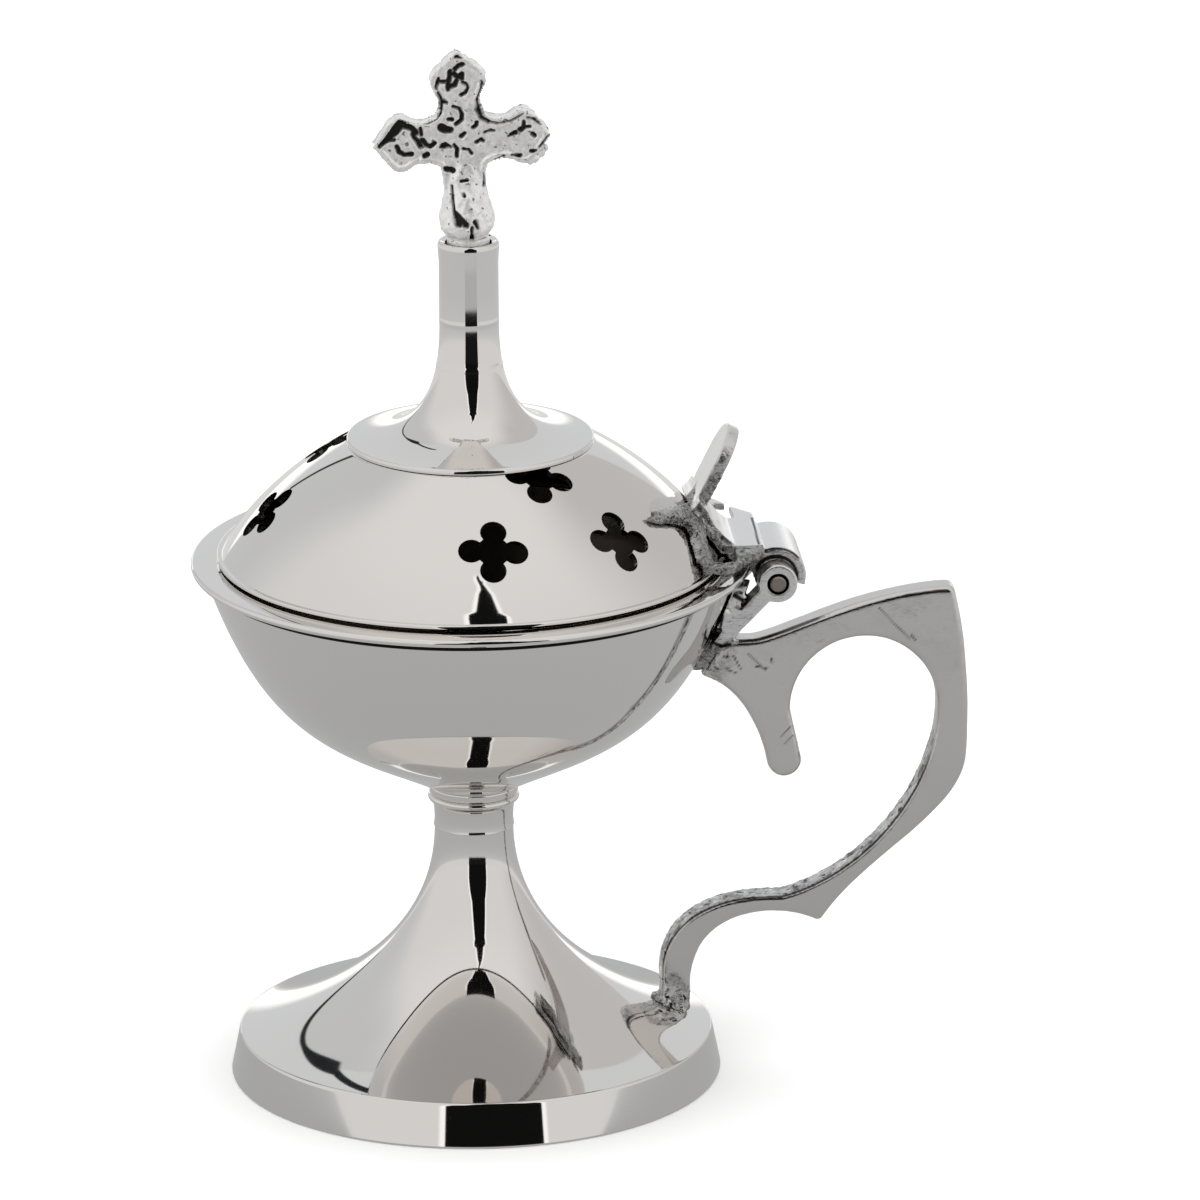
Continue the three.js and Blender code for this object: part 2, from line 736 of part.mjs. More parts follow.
function hingePin() {
  return barrel(pinRadius, -earOutside - pinStandOut, earOutside + pinStandOut, pinX, pinZ);
}

// Outline of the handle: along the top to the corner, down the grip to the heel, round the leg,
// and back up inside the grip, over the finger and down the spur
function handleOutline() {
  const reach = bowlRadius + handleReach;
  const top = rimTop - handleTopDrop;
  const rootTop = rimTop - handleRootDrop;
  const rootFoot = rootTop - handleRootHeight;
  const rootX = bowlRadius - handleRootReach;
  const cornerX = reach - cornerInset;
  const fingerX = reach - gripWidth - fingerRadius;
  const fingerZ = rimTop - fingerDrop;
  const fingerEnd = fingerX + fingerRadius;
  const spurX = fingerX - fingerRadius;
  const spurMiddle = spurX + spurHook - spurWidth / 2;
  const spurEnd = fingerZ - spurLength + spurWidth / 2;
  const gripZ = fingerZ - gripDrop;
  const legX = footRadius - legInset;
  const legOuter = legX + legWidth / 2;
  const legInner = legX - legWidth / 2;
  const heelX = reach - heelInset;
  const heelZ = bandHeight + heelRise;
  const legTop = heelZ + legWidth;
  const archTop = heelZ + archRise;
  const fingerFoot = fingerZ - fingerRadius;
  return new THREE.Shape()
    .moveTo(rootX, rootTop)
    .lineTo(bowlRadius + handleShelf, rootTop)
    .bezierCurveTo(spurX, rootTop + shelfRise, fingerX, top, cornerX, top)
    .bezierCurveTo(reach, fingerZ + fingerRadius, reach + gripBulge, fingerZ, reach, gripZ)
    .bezierCurveTo(reach, gripZ - gripPull, heelX + heelRun, heelZ + heelPull, heelX, heelZ)
    .bezierCurveTo(heelX - archRun, archTop, legOuter, archTop, legOuter, bandHeight + legFoot)
    .lineTo(legOuter, bandHeight)
    .lineTo(legInner, bandHeight)
    .lineTo(legInner, bandHeight + legStraight)
    .bezierCurveTo(legInner, heelZ, legX + legWidth, legTop + archCrown, heelX - archRun, legTop)
    .bezierCurveTo(heelX + heelSweep, legTop + heelLift, fingerEnd, fingerFoot, fingerEnd, fingerZ)
    .absarc(fingerX, fingerZ, fingerRadius, 0, Math.PI)
    .lineTo(spurMiddle + spurWidth / 2, spurEnd)
    .absarc(spurMiddle, spurEnd, spurWidth / 2, 0, -Math.PI, true)
    .quadraticCurveTo(spurX - spurRootWidth, rootFoot - spurFillet, rootX, rootFoot);
}

function handle() {
  const half = handleThickness / 2;
  const plate = solid(plateXZ(handleOutline(), -half, half, handleBevel, 6));
  const skin = moved(footCurve, -brazeGap);
  const foot = solid(spun([
    point(0, 0),
    point(footRadius + overrun, 0),
    ...skin,
    point(0, skin.at(-1).y),
  ]));
  return shape(cut(plate, bowlCore(2 * brazeGap + padThickness), foot));
}

// Finishes: polished nickel plate on the spun pieces, duller where the castings stay rough
const polished = { color: 0xd9d7d2, metalness: 1, roughness: 0.12 };
const cast = { color: 0xb9b6b0, metalness: 1, roughness: 0.34 };
const turned = { color: 0xc8c5bf, metalness: 1, roughness: 0.25 };

function piece(name, geometry, finish) {
  const flat = geometry.index ? geometry.toNonIndexed() : geometry;
  flat.computeVertexNormals();
  const mesh = new THREE.Mesh(flat, new THREE.MeshStandardMaterial(finish));
  mesh.name = name;
  return mesh;
}

const censer = new THREE.Group();
censer.name = 'standing_censer';
censer.add(
  piece('foot', spun(footProfile()), polished),
  piece('collar', collar(), polished),
  piece('bowl', spun(bowlProfile()), polished),
  piece('stem_bolt', bolt(), turned),
  piece('stem_washer', washer(stemWasherRadius, boltHoleRadius, stemNutBase + stemNutHeight), turned),
  piece('stem_nut', nut(stemNutFlats, stemNutHeight, boltHoleRadius, stemNutBase), turned),
  piece('bowl_bracket', bowlBracket(), cast),
  piece('hinge_pin', hingePin(), turned),
  piece('handle', handle(), cast),
  piece('lid', lid(), polished),
  piece('spire', spun(spireProfile(), tubeFacets), polished),
  piece('cross', cross(), cast),
  piece('finial_rod', post(rodRadius, lidNutBase - rodTail, rodTop), turned),
  piece('lid_washer', washer(lidWasherRadius, rodHoleRadius, lidNutBase + lidNutHeight), turned),
  piece('lid_nut', nut(lidNutFlats, lidNutHeight, rodHoleRadius, lidNutBase), turned),
  piece('lid_bracket', lidBracket(), cast),
);

export default censer;
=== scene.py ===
import math

import bpy
import numpy as np
from mathutils import Matrix, Vector


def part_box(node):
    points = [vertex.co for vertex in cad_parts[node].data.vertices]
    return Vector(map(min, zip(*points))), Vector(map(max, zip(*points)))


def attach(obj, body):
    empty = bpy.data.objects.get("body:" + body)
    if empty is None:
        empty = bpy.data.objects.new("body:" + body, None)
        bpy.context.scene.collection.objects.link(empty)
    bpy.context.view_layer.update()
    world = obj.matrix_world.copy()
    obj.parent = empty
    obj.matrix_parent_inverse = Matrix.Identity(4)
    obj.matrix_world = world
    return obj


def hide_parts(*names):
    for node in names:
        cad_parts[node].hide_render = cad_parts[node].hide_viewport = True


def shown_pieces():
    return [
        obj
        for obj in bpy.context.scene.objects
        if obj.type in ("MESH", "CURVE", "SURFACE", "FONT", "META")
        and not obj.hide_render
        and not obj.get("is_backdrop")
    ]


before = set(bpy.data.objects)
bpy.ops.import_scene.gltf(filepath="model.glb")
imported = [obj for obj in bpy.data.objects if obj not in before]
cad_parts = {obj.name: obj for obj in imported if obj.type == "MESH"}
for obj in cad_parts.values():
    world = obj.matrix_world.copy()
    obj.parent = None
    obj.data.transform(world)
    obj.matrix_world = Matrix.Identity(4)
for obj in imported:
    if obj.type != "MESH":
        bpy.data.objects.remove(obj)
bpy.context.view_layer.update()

MM = 0.001
weld = 0.002 * MM  # vertices closer than this are one
sharp_angle = math.radians(30)  # edges that turn more than this stay crisp

# Sizes in millimetres, as on the bench drawing; what the frame holds is read from it
foot_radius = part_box("foot")[1].y / MM
foot_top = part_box("foot")[1].z / MM
foot_wall = 1.1
band_height = 6.3
band_taper = 1.2
hem_width = 2.6
neck_radius = 5.6
neck_mouth = 6.45
neck_waist = 36.5
flare_length = 21.5
crease_height = 36.6
crease_depth = 0.12

collar_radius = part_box("collar")[1].y / MM
collar_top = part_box("collar")[1].z / MM
bolt_hole = 2.15

bowl_radius = 37.9
bowl_wall = 1.2
bowl_seat = 6.5
bowl_sweep = 14.8
bowl_belly = 8.2
rim_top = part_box("bowl")[1].z / MM
rim_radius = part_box("bowl")[1].y / MM
rim_thickness = 1.1
mouth_radius = 35.0
bowl_side_top = rim_top - rim_thickness

lid_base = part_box("lid")[0].z / MM
lid_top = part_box("lid")[1].z / MM
lid_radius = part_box("lid")[1].y / MM
lid_edge = 0.7
lid_gap = 0.25
lid_wall = 1.0
lid_flat = 17.2
lid_shoulder = (28.7, 10.7)
rod_hole = 1.65

spire_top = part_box("spire")[1].z / MM
spire_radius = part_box("spire")[1].y / MM
spire_tube = 4.2
spire_wall = 0.9
spire_base = 0.7
spire_flare_run = 8.7
spire_throat = 5.0
spire_rise = 17.0
spire_lip = 0.15
spire_rings = ((104.75, 0.6, 0.045), (111.15, 0.6, 0.03))  # height, half width, rise

# Piercings: azimuth of a group from the handle, shift of its high one, and its outset from the flat
piercing_groups = ((-68.3, 5.0, 1.5), (166.5, -2.9, 3.2), (52.0, 2.0, 2.0))
# The two low ones of a group: how far apart, how far in from the edge of the lid, and their turns
low_spread = 39.0
low_insets = (7.7, 6.7)
low_twists = (-5.0, -16.0)
high_twist = -26.0
# The four lobes and the core of a piercing
lobe_radius = 1.85
lobe_offset = 3.05
core_radius = 2.35
cutter_reach = 4.0

around = 192  # facets around a mirror-polished spun piece


# Mesh work, as at the bench: start from a point, run a profile, spin it

def start_point(name, x, y, z):
    """One vertex at a place, left in edit mode: a small plane merged to its centre."""
    bpy.ops.object.select_all(action="DESELECT")
    bpy.ops.mesh.primitive_plane_add(size=MM, location=(x * MM, y * MM, z * MM))
    piece = bpy.context.object
    piece.name = name
    piece.data.name = name
    bpy.ops.object.mode_set(mode="EDIT")
    bpy.ops.mesh.merge(type="CENTER")
    return piece


def run_chain(name, points):
    """A chain of edges through (x, y, z) points, left in edit mode with its last vertex selected."""
    piece = start_point(name, *points[0])
    for before, after in zip(points, points[1:]):
        step = [(b - a) * MM for a, b in zip(before, after)]
        bpy.ops.mesh.extrude_vertices_move(TRANSFORM_OT_translate={"value": step})
    return piece


def finish_mesh(piece):
    """Merge doubles, turn the faces out, leave edit mode and put the place into the mesh."""
    bpy.ops.mesh.select_all(action="SELECT")
    bpy.ops.mesh.remove_doubles(threshold=weld)
    bpy.ops.mesh.normals_make_consistent(inside=False)
    bpy.ops.object.mode_set(mode="OBJECT")
    bpy.ops.object.transform_apply(location=True, rotation=True, scale=True)
    bpy.ops.object.shade_smooth_by_angle(angle=sharp_angle)
    return piece


def spun(name, profile, facets=around):
    """Body of revolution about Z from a closed profile of (radius, height)."""
    piece = run_chain(name, [(r, 0.0, z) for r, z in [*profile, profile[0]]])
    bpy.ops.mesh.select_all(action="SELECT")
    bpy.ops.mesh.spin(steps=facets, angle=math.tau, center=(0, 0, 0), axis=(0, 0, 1))
    return finish_mesh(piece)


def curve(controls, steps):
    """Points along a Bezier curve with any number of control points, both ends included."""
    order = len(controls) - 1
    points = []
    for k in range(steps + 1):
        t = k / steps
        weights = [math.comb(order, i) * t ** i * (1 - t) ** (order - i) for i in range(order + 1)]
        points.append(tuple(sum(w * c[axis] for w, c in zip(weights, controls)) for axis in (0, 1)))
    return points


def offset(points, distance):
    """A run of points moved sideways, to the left of its run for a positive distance."""
    moved = []
    for k, (x, y) in enumerate(points):
        before, after = points[max(k - 1, 0)], points[min(k + 1, len(points) - 1)]
        run = (after[0] - before[0], after[1] - before[1])
        length = math.hypot(*run)
        moved.append((x - run[1] / length * distance, y + run[0] / length * distance))
    return moved


def arc(x, y, radius, start, end, steps):
    """Points on an arc, angles in degrees."""
    return [(x + radius * math.cos(math.radians(a)), y + radius * math.sin(math.radians(a)))
            for a in np.linspace(start, end, steps + 1)]


def side_height(side, radius):
    """Height of a spun side at a radius, or at many; the side runs inward and up."""
    radii, heights = zip(*reversed(side))
    return np.interp(radius, radii, heights)


def from_axis(places):
    """Distance of places from the Z axis."""
    return np.hypot(places[:, 0], places[:, 1])


def apply_modifier(piece, kind, **values):
    """Add a modifier, set it, and apply it."""
    bpy.ops.object.select_all(action="DESELECT")
    piece.select_set(True)
    bpy.context.view_layer.objects.active = piece
    modifier = piece.modifiers.new(kind.lower(), kind)
    for key, value in values.items():
        setattr(modifier, key, value)
    bpy.ops.object.modifier_apply(modifier=modifier.name)


def remove(piece):
    """Throw a helper piece away."""
    bpy.data.objects.remove(piece, do_unlink=True)


slots = {}  # finish of each piece, by name


def mount(piece, body, slot_name, *nodes):
    """Ride a finished piece on its body, stand it in for its nodes and give its finish."""
    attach(piece, body)
    slots[piece.name] = slot_name
    if nodes:
        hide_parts(*nodes)


# Spun pieces

def foot_side(steps):
    """Outside of the foot from the top of its band up to the neck."""
    top = (foot_radius - band_taper, band_height)
    return curve([
        top,
        (top[0] - 3.0, top[1] + 0.95),
        (neck_radius, neck_waist - flare_length),
        (neck_radius, neck_waist),
    ], steps)


def make_foot():
    """Spun foot: banded edge turned under, trumpet flare, crease below the mouth of the neck."""
    flare = foot_side(56)
    band_top = flare[0]
    edge = curve([(band_top[0] + 0.05, band_top[1] - 0.35), band_top, flare[1]], 4)
    mouth = curve([
        (neck_radius, neck_waist + 0.9),
        (neck_radius, (neck_waist + 2 * foot_top) / 3),
        (neck_mouth - 0.5, foot_top - 1.25),
    ], 10)
    lip = [mouth[-1], *arc(neck_mouth - 0.5, foot_top - 0.55, 0.55, -70, 90, 12)]
    ceiling = foot_top - foot_wall
    wall = [p for p in offset(flare, foot_wall) if p[0] < band_top[0] - foot_wall and p[1] > band_height]
    hem = foot_radius - hem_width
    profile = [
        (hem, 0.0),
        (foot_radius - 0.35, 0.0),
        (foot_radius - 0.1, 0.1),
        (foot_radius, 0.35),
        *edge,
        *flare[2:],
        (neck_radius + crease_depth, crease_height),
        *mouth,
        *lip[1:],
        (bolt_hole, foot_top),
        (bolt_hole, ceiling),
        (wall[-1][0], ceiling),
        *reversed(wall),
        (band_top[0] - foot_wall, band_height - foot_wall),
        (foot_radius - foot_wall, foot_wall),
        (hem, foot_wall),
    ]
    piece = spun("foot_shell", profile)
    mount(piece, "stand", "polished_plate", "foot")


def make_collar():
    """Turned collar between the neck and the bowl, with one bead."""
    r, low, high = collar_radius, foot_top, collar_top
    profile = [
        (bolt_hole, low),
        *curve([(r - 0.45, low), (r - 0.1, low), (r - 0.1, low + 0.35)], 4),
        *curve([(r - 0.1, low + 0.75), (r, low + 0.95), (r, high - 0.12), (r - 0.3, high)], 6),
        (bolt_hole, high),
    ]
    piece = spun("neck_collar", profile)
    mount(piece, "stand", "polished_plate", "collar")


bowl_side = curve([
    (bowl_seat, collar_top),
    (bowl_seat + bowl_sweep, collar_top + bowl_belly),
    (bowl_radius - bowl_belly, collar_top + bowl_belly),
    (bowl_radius, bowl_side_top),
], 64)


def make_bowl():
    """Spun bowl with its rolled rim; painted shade runs as a near-black line in the crease under the rim,
    the inside is dulled.
    """
    nose = (rim_radius - 0.5, (rim_top + bowl_side_top) / 2)
    lip = [(nose[0] + 0.5 * math.cos(a), nose[1] + rim_thickness / 2 * math.sin(a))
           for a in np.linspace(-math.pi / 2, math.pi / 2, 13)]
    floor = collar_top + bowl_wall
    wall = [p for p in offset(bowl_side, bowl_wall) if p[1] > floor and p[0] < mouth_radius - 0.05]
    side_z, side_r = [p[1] for p in bowl_side], [p[0] for p in bowl_side]
    # lower edge of the painted shade line under the rim; the profile gets rings there to carry it
    shade_line_low = bowl_side_top - 0.3 * (rim_radius - bowl_radius) - 0.45
    profile = [
        (bolt_hole, collar_top),
        *[p for p in bowl_side if p[1] < shade_line_low - 0.08],
        *[(np.interp(z, side_z, side_r), z) for z in (shade_line_low - 0.06, shade_line_low)],
        *[p for p in bowl_side if p[1] > shade_line_low + 0.02],
        *lip,
        *curve([(mouth_radius + 0.3, rim_top), (mouth_radius, rim_top), (mouth_radius, rim_top - 0.3)], 4),
        *reversed(wall),
        (bowl_seat - 1.5, floor),
        (bolt_hole, floor),
    ]
    piece = spun("bowl_shell", profile)

    # painted shade: 1 in the crease under the rim, where the plate is coloured near black
    def under_rim_shade(places, normals):
        height = places[:, 2]
        in_shade_line = (height > shade_line_low - 0.02) * (height < bowl_side_top + 0.02)
        return in_shade_line * (from_axis(places) > bowl_radius - 0.6) * 1.0

    def inside(places, normals):
        height = places[:, 2]
        depth = np.interp(height, side_z, side_r) - from_axis(places)
        return ease(depth, 0.6, 0.9) * (height < rim_top - 0.5) * (normals[:, 2] > -0.9)

    paint(piece, "crease", under_rim_shade)
    paint(piece, "inside", inside)
    mount(piece, "stand", "polished_plate", "bowl")


dome = curve([
    (lid_radius - lid_edge, lid_base + lid_edge),
    (lid_shoulder[0], lid_base + lid_shoulder[1]),
    (lid_flat, lid_top),
], 48)


def dome_height(radius):
    """Height of the outside of the lid at a radius, or at many."""
    return side_height(dome, radius)


def quatrefoil(steps=14):
    """Outline of a piercing: four round lobes on a round core."""
    crossing = (lobe_offset ** 2 + core_radius ** 2 - lobe_radius ** 2) / (2 * lobe_offset)
    sweep = math.pi - math.acos((lobe_offset - crossing) / lobe_radius)
    points = []
    for lobe in range(4):
        heading = lobe * math.pi / 2
        middle = (lobe_offset * math.cos(heading), lobe_offset * math.sin(heading))
        for k in range(steps + 1):
            angle = heading - sweep + 2 * sweep * k / steps
            points.append((middle[0] + lobe_radius * math.cos(angle),
                           middle[1] + lobe_radius * math.sin(angle)))
    return points


def piercing(azimuth, radius, twist):
    """Cutter for one piercing, square to the surface of the lid."""
    piece = level_plate("piercing_cutter", quatrefoil(), -cutter_reach, cutter_reach)
    inside, outside = (dome_height(radius + step) for step in (-lobe_radius, lobe_radius))
    slope = math.atan2(inside - outside, 2 * lobe_radius)
    seat = Matrix.Rotation(math.radians(azimuth), 4, "Z")
    seat = seat @ Matrix.Translation((radius * MM, 0, dome_height(radius) * MM))
    seat = seat @ Matrix.Rotation(slope, 4, "Y") @ Matrix.Rotation(math.radians(twist), 4, "Z")
    piece.data.transform(seat)
    return piece


def make_lid():
    """Spun domed lid, pierced by three groups of three quatrefoils, its inside darker and duller."""
    wall = [p for p in offset(dome, lid_wall) if lid_base + 0.3 < p[1] < lid_top - lid_wall]
    step = lid_base + lid_edge
    low = rim_top + lid_gap
    profile = [
        (lid_radius - 0.25, low),
        (lid_radius, low + 0.25),
        *curve([(lid_radius, step - 0.25), (lid_radius, step), (lid_radius - 0.25, step)], 4),
        (dome[0][0] + 0.1, step),
        *dome,
        (rod_hole, lid_top),
        (rod_hole, lid_top - lid_wall),
        (lid_flat - lid_wall, lid_top - lid_wall),
        *reversed(wall),
        (wall[0][0], low),
    ]
    piece = spun("lid_dome", profile)
    for azimuth, shift, outset in piercing_groups:
        cutters = [piercing(azimuth + (k - 0.5) * low_spread, lid_radius - low_insets[k], low_twists[k])
                   for k in (0, 1)]
        cutters.append(piercing(azimuth + shift, lid_flat + outset, high_twist))
        for cutter in cutters:
            apply_modifier(piece, "BOOLEAN", object=cutter, operation="DIFFERENCE", solver="EXACT")
            remove(cutter)
    bpy.ops.object.shade_smooth_by_angle(angle=sharp_angle)

    def inside(places, normals):
        radius = from_axis(places)
        return ease(dome_height(radius) - places[:, 2], 0.6, 0.8) * (radius < lid_radius - 1.2)

    paint(piece, "inside", inside)
    mount(piece, "lid_assembly", "polished_plate", "lid")


def with_ridges(side):
    """The side of the spire with the two faint raised rings left by the spinning tool."""
    radii, heights = [p[0] for p in side], [p[1] for p in side]
    points = list(side)
    for middle, half, rise in spire_rings:
        points = [p for p in points if abs(p[1] - middle) > half]
        for turn in np.linspace(-math.pi, math.pi, 15):
            height = middle + half * turn / math.pi
            plain = float(np.interp(height, heights, radii))
            points.append((plain + rise * (1 + math.cos(turn)) / 2, height))
    return sorted(points, key=lambda p: p[1])


def make_spire():
    """Spun spire: a trumpet on a thin base, drawn up into a tube with an open lip."""
    tube_foot = lid_top + spire_rise
    outer = curve([
        (spire_radius, lid_top + spire_base),
        (spire_radius - spire_flare_run, lid_top + 2 * spire_base),
        (spire_tube, lid_top + spire_throat),
        (spire_tube, tube_foot),
    ], 56)
    edge = curve([
        (spire_radius, lid_top + spire_base - 0.3), outer[0], (spire_radius - 0.3, outer[0][1] + 0.05)], 4)
    inner = [p for p in offset(outer, spire_wall) if lid_top + 0.1 < p[1] < tube_foot]
    bore = spire_tube - spire_wall
    lip = curve([
        (spire_tube + spire_lip, spire_top - 0.8),
        (spire_tube + spire_lip + 0.05, spire_top),
        (spire_tube - 0.25, spire_top),
    ], 6)
    profile = [
        (spire_radius, lid_top),
        *edge,
        *with_ridges([p for p in outer if p[0] < spire_radius - 0.35] + [(spire_tube, spire_top - 3.0)]),
        *lip,
        (bore, spire_top - 0.3),
        (bore, tube_foot),
        *reversed(inner),
        (inner[0][0] + 1.0, lid_top),
    ]
    piece = spun("spire_trumpet", profile)
    mount(piece, "lid_assembly", "polished_plate", "spire")


# Plates and castings

def fill_chain(points, name):
    """A flat face with this rim, left in edit mode and selected."""
    piece = run_chain(name, [*points, points[0]])
    bpy.ops.mesh.select_all(action="SELECT")
    bpy.ops.mesh.remove_doubles(threshold=weld)
    bpy.ops.mesh.edge_face_add()
    return piece


def upright_plate(name, outline, low, high):
    """Plate from an (x, z) outline, between two distances along Y."""
    piece = fill_chain([(x, low, z) for x, z in outline], name)
    bpy.ops.mesh.extrude_region_move(TRANSFORM_OT_translate={"value": (0, (high - low) * MM, 0)})
    return finish_mesh(piece)


def level_plate(name, outline, low, high):
    """Plate from an (x, y) outline, between two heights."""
    piece = fill_chain([(x, y, low) for x, y in outline], name)
    bpy.ops.mesh.extrude_region_move(TRANSFORM_OT_translate={"value": (0, 0, (high - low) * MM)})
    return finish_mesh(piece)


def hinge_barrel(name, radius, low, high):
    """Round bar about the hinge's axis, between two distances along Y."""
    bpy.ops.object.select_all(action="DESELECT")
    bpy.ops.mesh.primitive_cylinder_add(
        vertices=64, radius=radius * MM, depth=(high - low) * MM,
        location=(pin_x * MM, (low + high) / 2 * MM, pin_z * MM), rotation=(math.pi / 2, 0, 0))
    piece = bpy.context.object
    piece.name = name
    bpy.ops.object.transform_apply(location=True, rotation=True, scale=True)
    return piece


def combine(piece, other, operation):
    """Boolean of two pieces into the first, the other one used up."""
    apply_modifier(piece, "BOOLEAN", object=other, operation=operation, solver="EXACT")
    remove(other)


def fuse(name, pieces, grain, softening):
    """Pieces melted into one casting: joined, remeshed at a grain size in mm, and softened."""
    bpy.ops.object.select_all(action="DESELECT")
    for piece in pieces:
        piece.select_set(True)
    bpy.context.view_layer.objects.active = pieces[0]
    if len(pieces) > 1:
        bpy.ops.object.join()
    piece = bpy.context.object
    piece.name = name
    piece.data.name = name
    apply_modifier(piece, "REMESH", mode="VOXEL", voxel_size=grain * MM, use_smooth_shade=True)
    if softening:
        apply_modifier(piece, "SMOOTH", factor=0.5, iterations=softening)
    return piece


def paint(piece, label, rule):
    """Paint a piece by a rule giving 0 to 1 from places in mm and normals; attribute and vertex group."""
    mesh = piece.data
    places, normals = np.empty(len(mesh.vertices) * 3), np.empty(len(mesh.vertices) * 3)
    mesh.vertices.foreach_get("co", places)
    mesh.vertices.foreach_get("normal", normals)
    value = np.clip(rule(places.reshape(-1, 3) / MM, normals.reshape(-1, 3)), 0, 1)
    layer = mesh.attributes.get(label) or mesh.attributes.new(label, "FLOAT", "POINT")
    layer.data.foreach_set("value", value)
    group = piece.vertex_groups.get(label) or piece.vertex_groups.new(name=label)
    steps = np.round(value * 12).astype(int)
    for step in range(13):
        group.add([int(k) for k in np.flatnonzero(steps == step)], step / 12, "REPLACE")


def ease(value, low, high):
    """Smooth step from 0 at low to 1 at high."""
    t = np.clip((value - low) / (high - low), 0, 1)
    return t * t * (3 - 2 * t)


def raise_painted(piece, group, height):
    """Lift a painted part of the surface by a height in mm, or sink it by a negative one."""
    apply_modifier(piece, "DISPLACE", strength=height * MM, mid_level=0.0, vertex_group=group)


def hammer(piece, grain, depth, group=""):
    """Rough cast or filed surface: small uneven hollows, depth in mm, where the group is painted."""
    relief = bpy.data.textures.new(piece.name + "_relief", "CLOUDS")
    relief.noise_scale = grain * MM
    apply_modifier(piece, "DISPLACE", texture=relief, strength=depth * MM, mid_level=0.55,
                   texture_coords="LOCAL", vertex_group=group)


def bead(x, y, z, radius):
    """Small round drop of metal."""
    bpy.ops.object.select_all(action="DESELECT")
    bpy.ops.mesh.primitive_ico_sphere_add(
        subdivisions=3, radius=radius * MM, location=(x * MM, y * MM, z * MM))
    piece = bpy.context.object
    bpy.ops.object.transform_apply(location=True, rotation=True, scale=True)
    return piece


def rib(name, points):
    """Round bar through (x, y, z, radius) points, its ends closed."""
    bpy.ops.object.select_all(action="DESELECT")
    bpy.ops.curve.primitive_bezier_curve_add(location=(0, 0, 0))
    bar = bpy.context.object
    bar.name = name
    bar.data.splines.remove(bar.data.splines[0])
    spline = bar.data.splines.new("POLY")
    spline.points.add(len(points) - 1)
    for place, (x, y, z, radius) in zip(spline.points, points):
        place.co = (x * MM, y * MM, z * MM, 1)
        place.radius = radius
    bar.data.bevel_depth = MM
    bar.data.bevel_resolution = 4
    bar.data.use_fill_caps = True
    bpy.ops.object.convert(target="MESH")
    return bpy.context.object


# Handle

handle_half = 2.2
reach = bowl_radius + 32.3
handle_top = rim_top - 6.1
root_top = rim_top - 13.1
root_foot = root_top - 5.0
root_x = bowl_radius - 6.0
finger_radius = 10.5
finger_x = reach - 4.2 - finger_radius
finger_z = rim_top - 23.7
finger_end = finger_x + finger_radius
spur_x = finger_x - finger_radius
spur_width = 4.9
spur_middle = spur_x + 1.6 - spur_width / 2
spur_end = finger_z - 10.0 + spur_width / 2
grip_z = finger_z - 7.0
leg_x = foot_radius - 6.4
leg_outer, leg_inner = leg_x + 2.1, leg_x - 2.1
heel_x = reach - 21.0
heel_z = band_height + 14.3
leg_top = heel_z + 4.2
arch_top = heel_z + 3.2


def handle_outline():
    """Outline of the handle as (x, z): grip, heel, leg, then back up the inside round the finger hole."""
    return [
        (root_x, root_top),
        *curve([(bowl_radius + 2, root_top), (spur_x, root_top + 0.8), (finger_x, handle_top),
                (reach - 1.9, handle_top)], 26),
        *curve([(reach - 1.9, handle_top), (reach, finger_z + finger_radius), (reach + 0.5, finger_z),
                (reach, grip_z)], 22)[1:],
        *curve([(reach, grip_z), (reach, grip_z - 9.1), (heel_x + 6.3, heel_z + 10),
                (heel_x, heel_z)], 26)[1:],
        *curve([(heel_x, heel_z), (heel_x - 5.5, arch_top), (leg_outer, arch_top),
                (leg_outer, band_height + 5)], 20)[1:],
        (leg_outer, band_height),
        (leg_inner, band_height),
        *curve([(leg_inner, band_height + 7.5), (leg_inner, heel_z), (leg_x + 4.2, leg_top + 0.8),
                (heel_x - 5.5, leg_top)], 20),
        *curve([(heel_x - 5.5, leg_top), (heel_x + 8.1, leg_top + 3.5),
                (finger_end, finger_z - finger_radius), (finger_end, finger_z)], 24)[1:],
        *arc(finger_x, finger_z, finger_radius, 0, 180, 40)[1:],
        *arc(spur_middle, spur_end, spur_width / 2, 0, -180, 20),
        *curve([(spur_middle - spur_width / 2, spur_end), (spur_x - 5.8, root_foot - 2.2),
                (root_x, root_foot)], 14)[1:],
    ]


def foot_core(gap):
    """Solid body just outside the foot, for cutting what stands on it."""
    skin = offset(foot_side(40), -gap)
    return spun("foot_core", [(0.01, -1), (foot_radius + 1, -1), (foot_radius + 1, skin[0][1]),
                              *skin, (0.01, skin[-1][1])], 96)


def bowl_core(gap):
    """Solid body just outside the bowl."""
    skin = offset(bowl_side, -gap)
    over = rim_top + 4
    return spun("bowl_core", [(0.01, skin[0][1]), *skin, (skin[-1][0], over), (0.01, over)], 128)


# Drops of solder round the foot of the leg: x, y, radius
solder_drops = (
    (25.6, -0.4, 0.6), (25.9, -1.7, 0.55), (27.0, -2.3, 0.55), (28.4, -2.2, 0.5), (29.6, -2.2, 0.45),
    (30.4, 1.9, 0.5), (28.9, 2.2, 0.55), (26.8, 2.1, 0.55), (25.6, 1.0, 0.5))


def foot_height(radius):
    """Height of the outside of the foot at a radius."""
    return side_height(foot_side(60), radius)


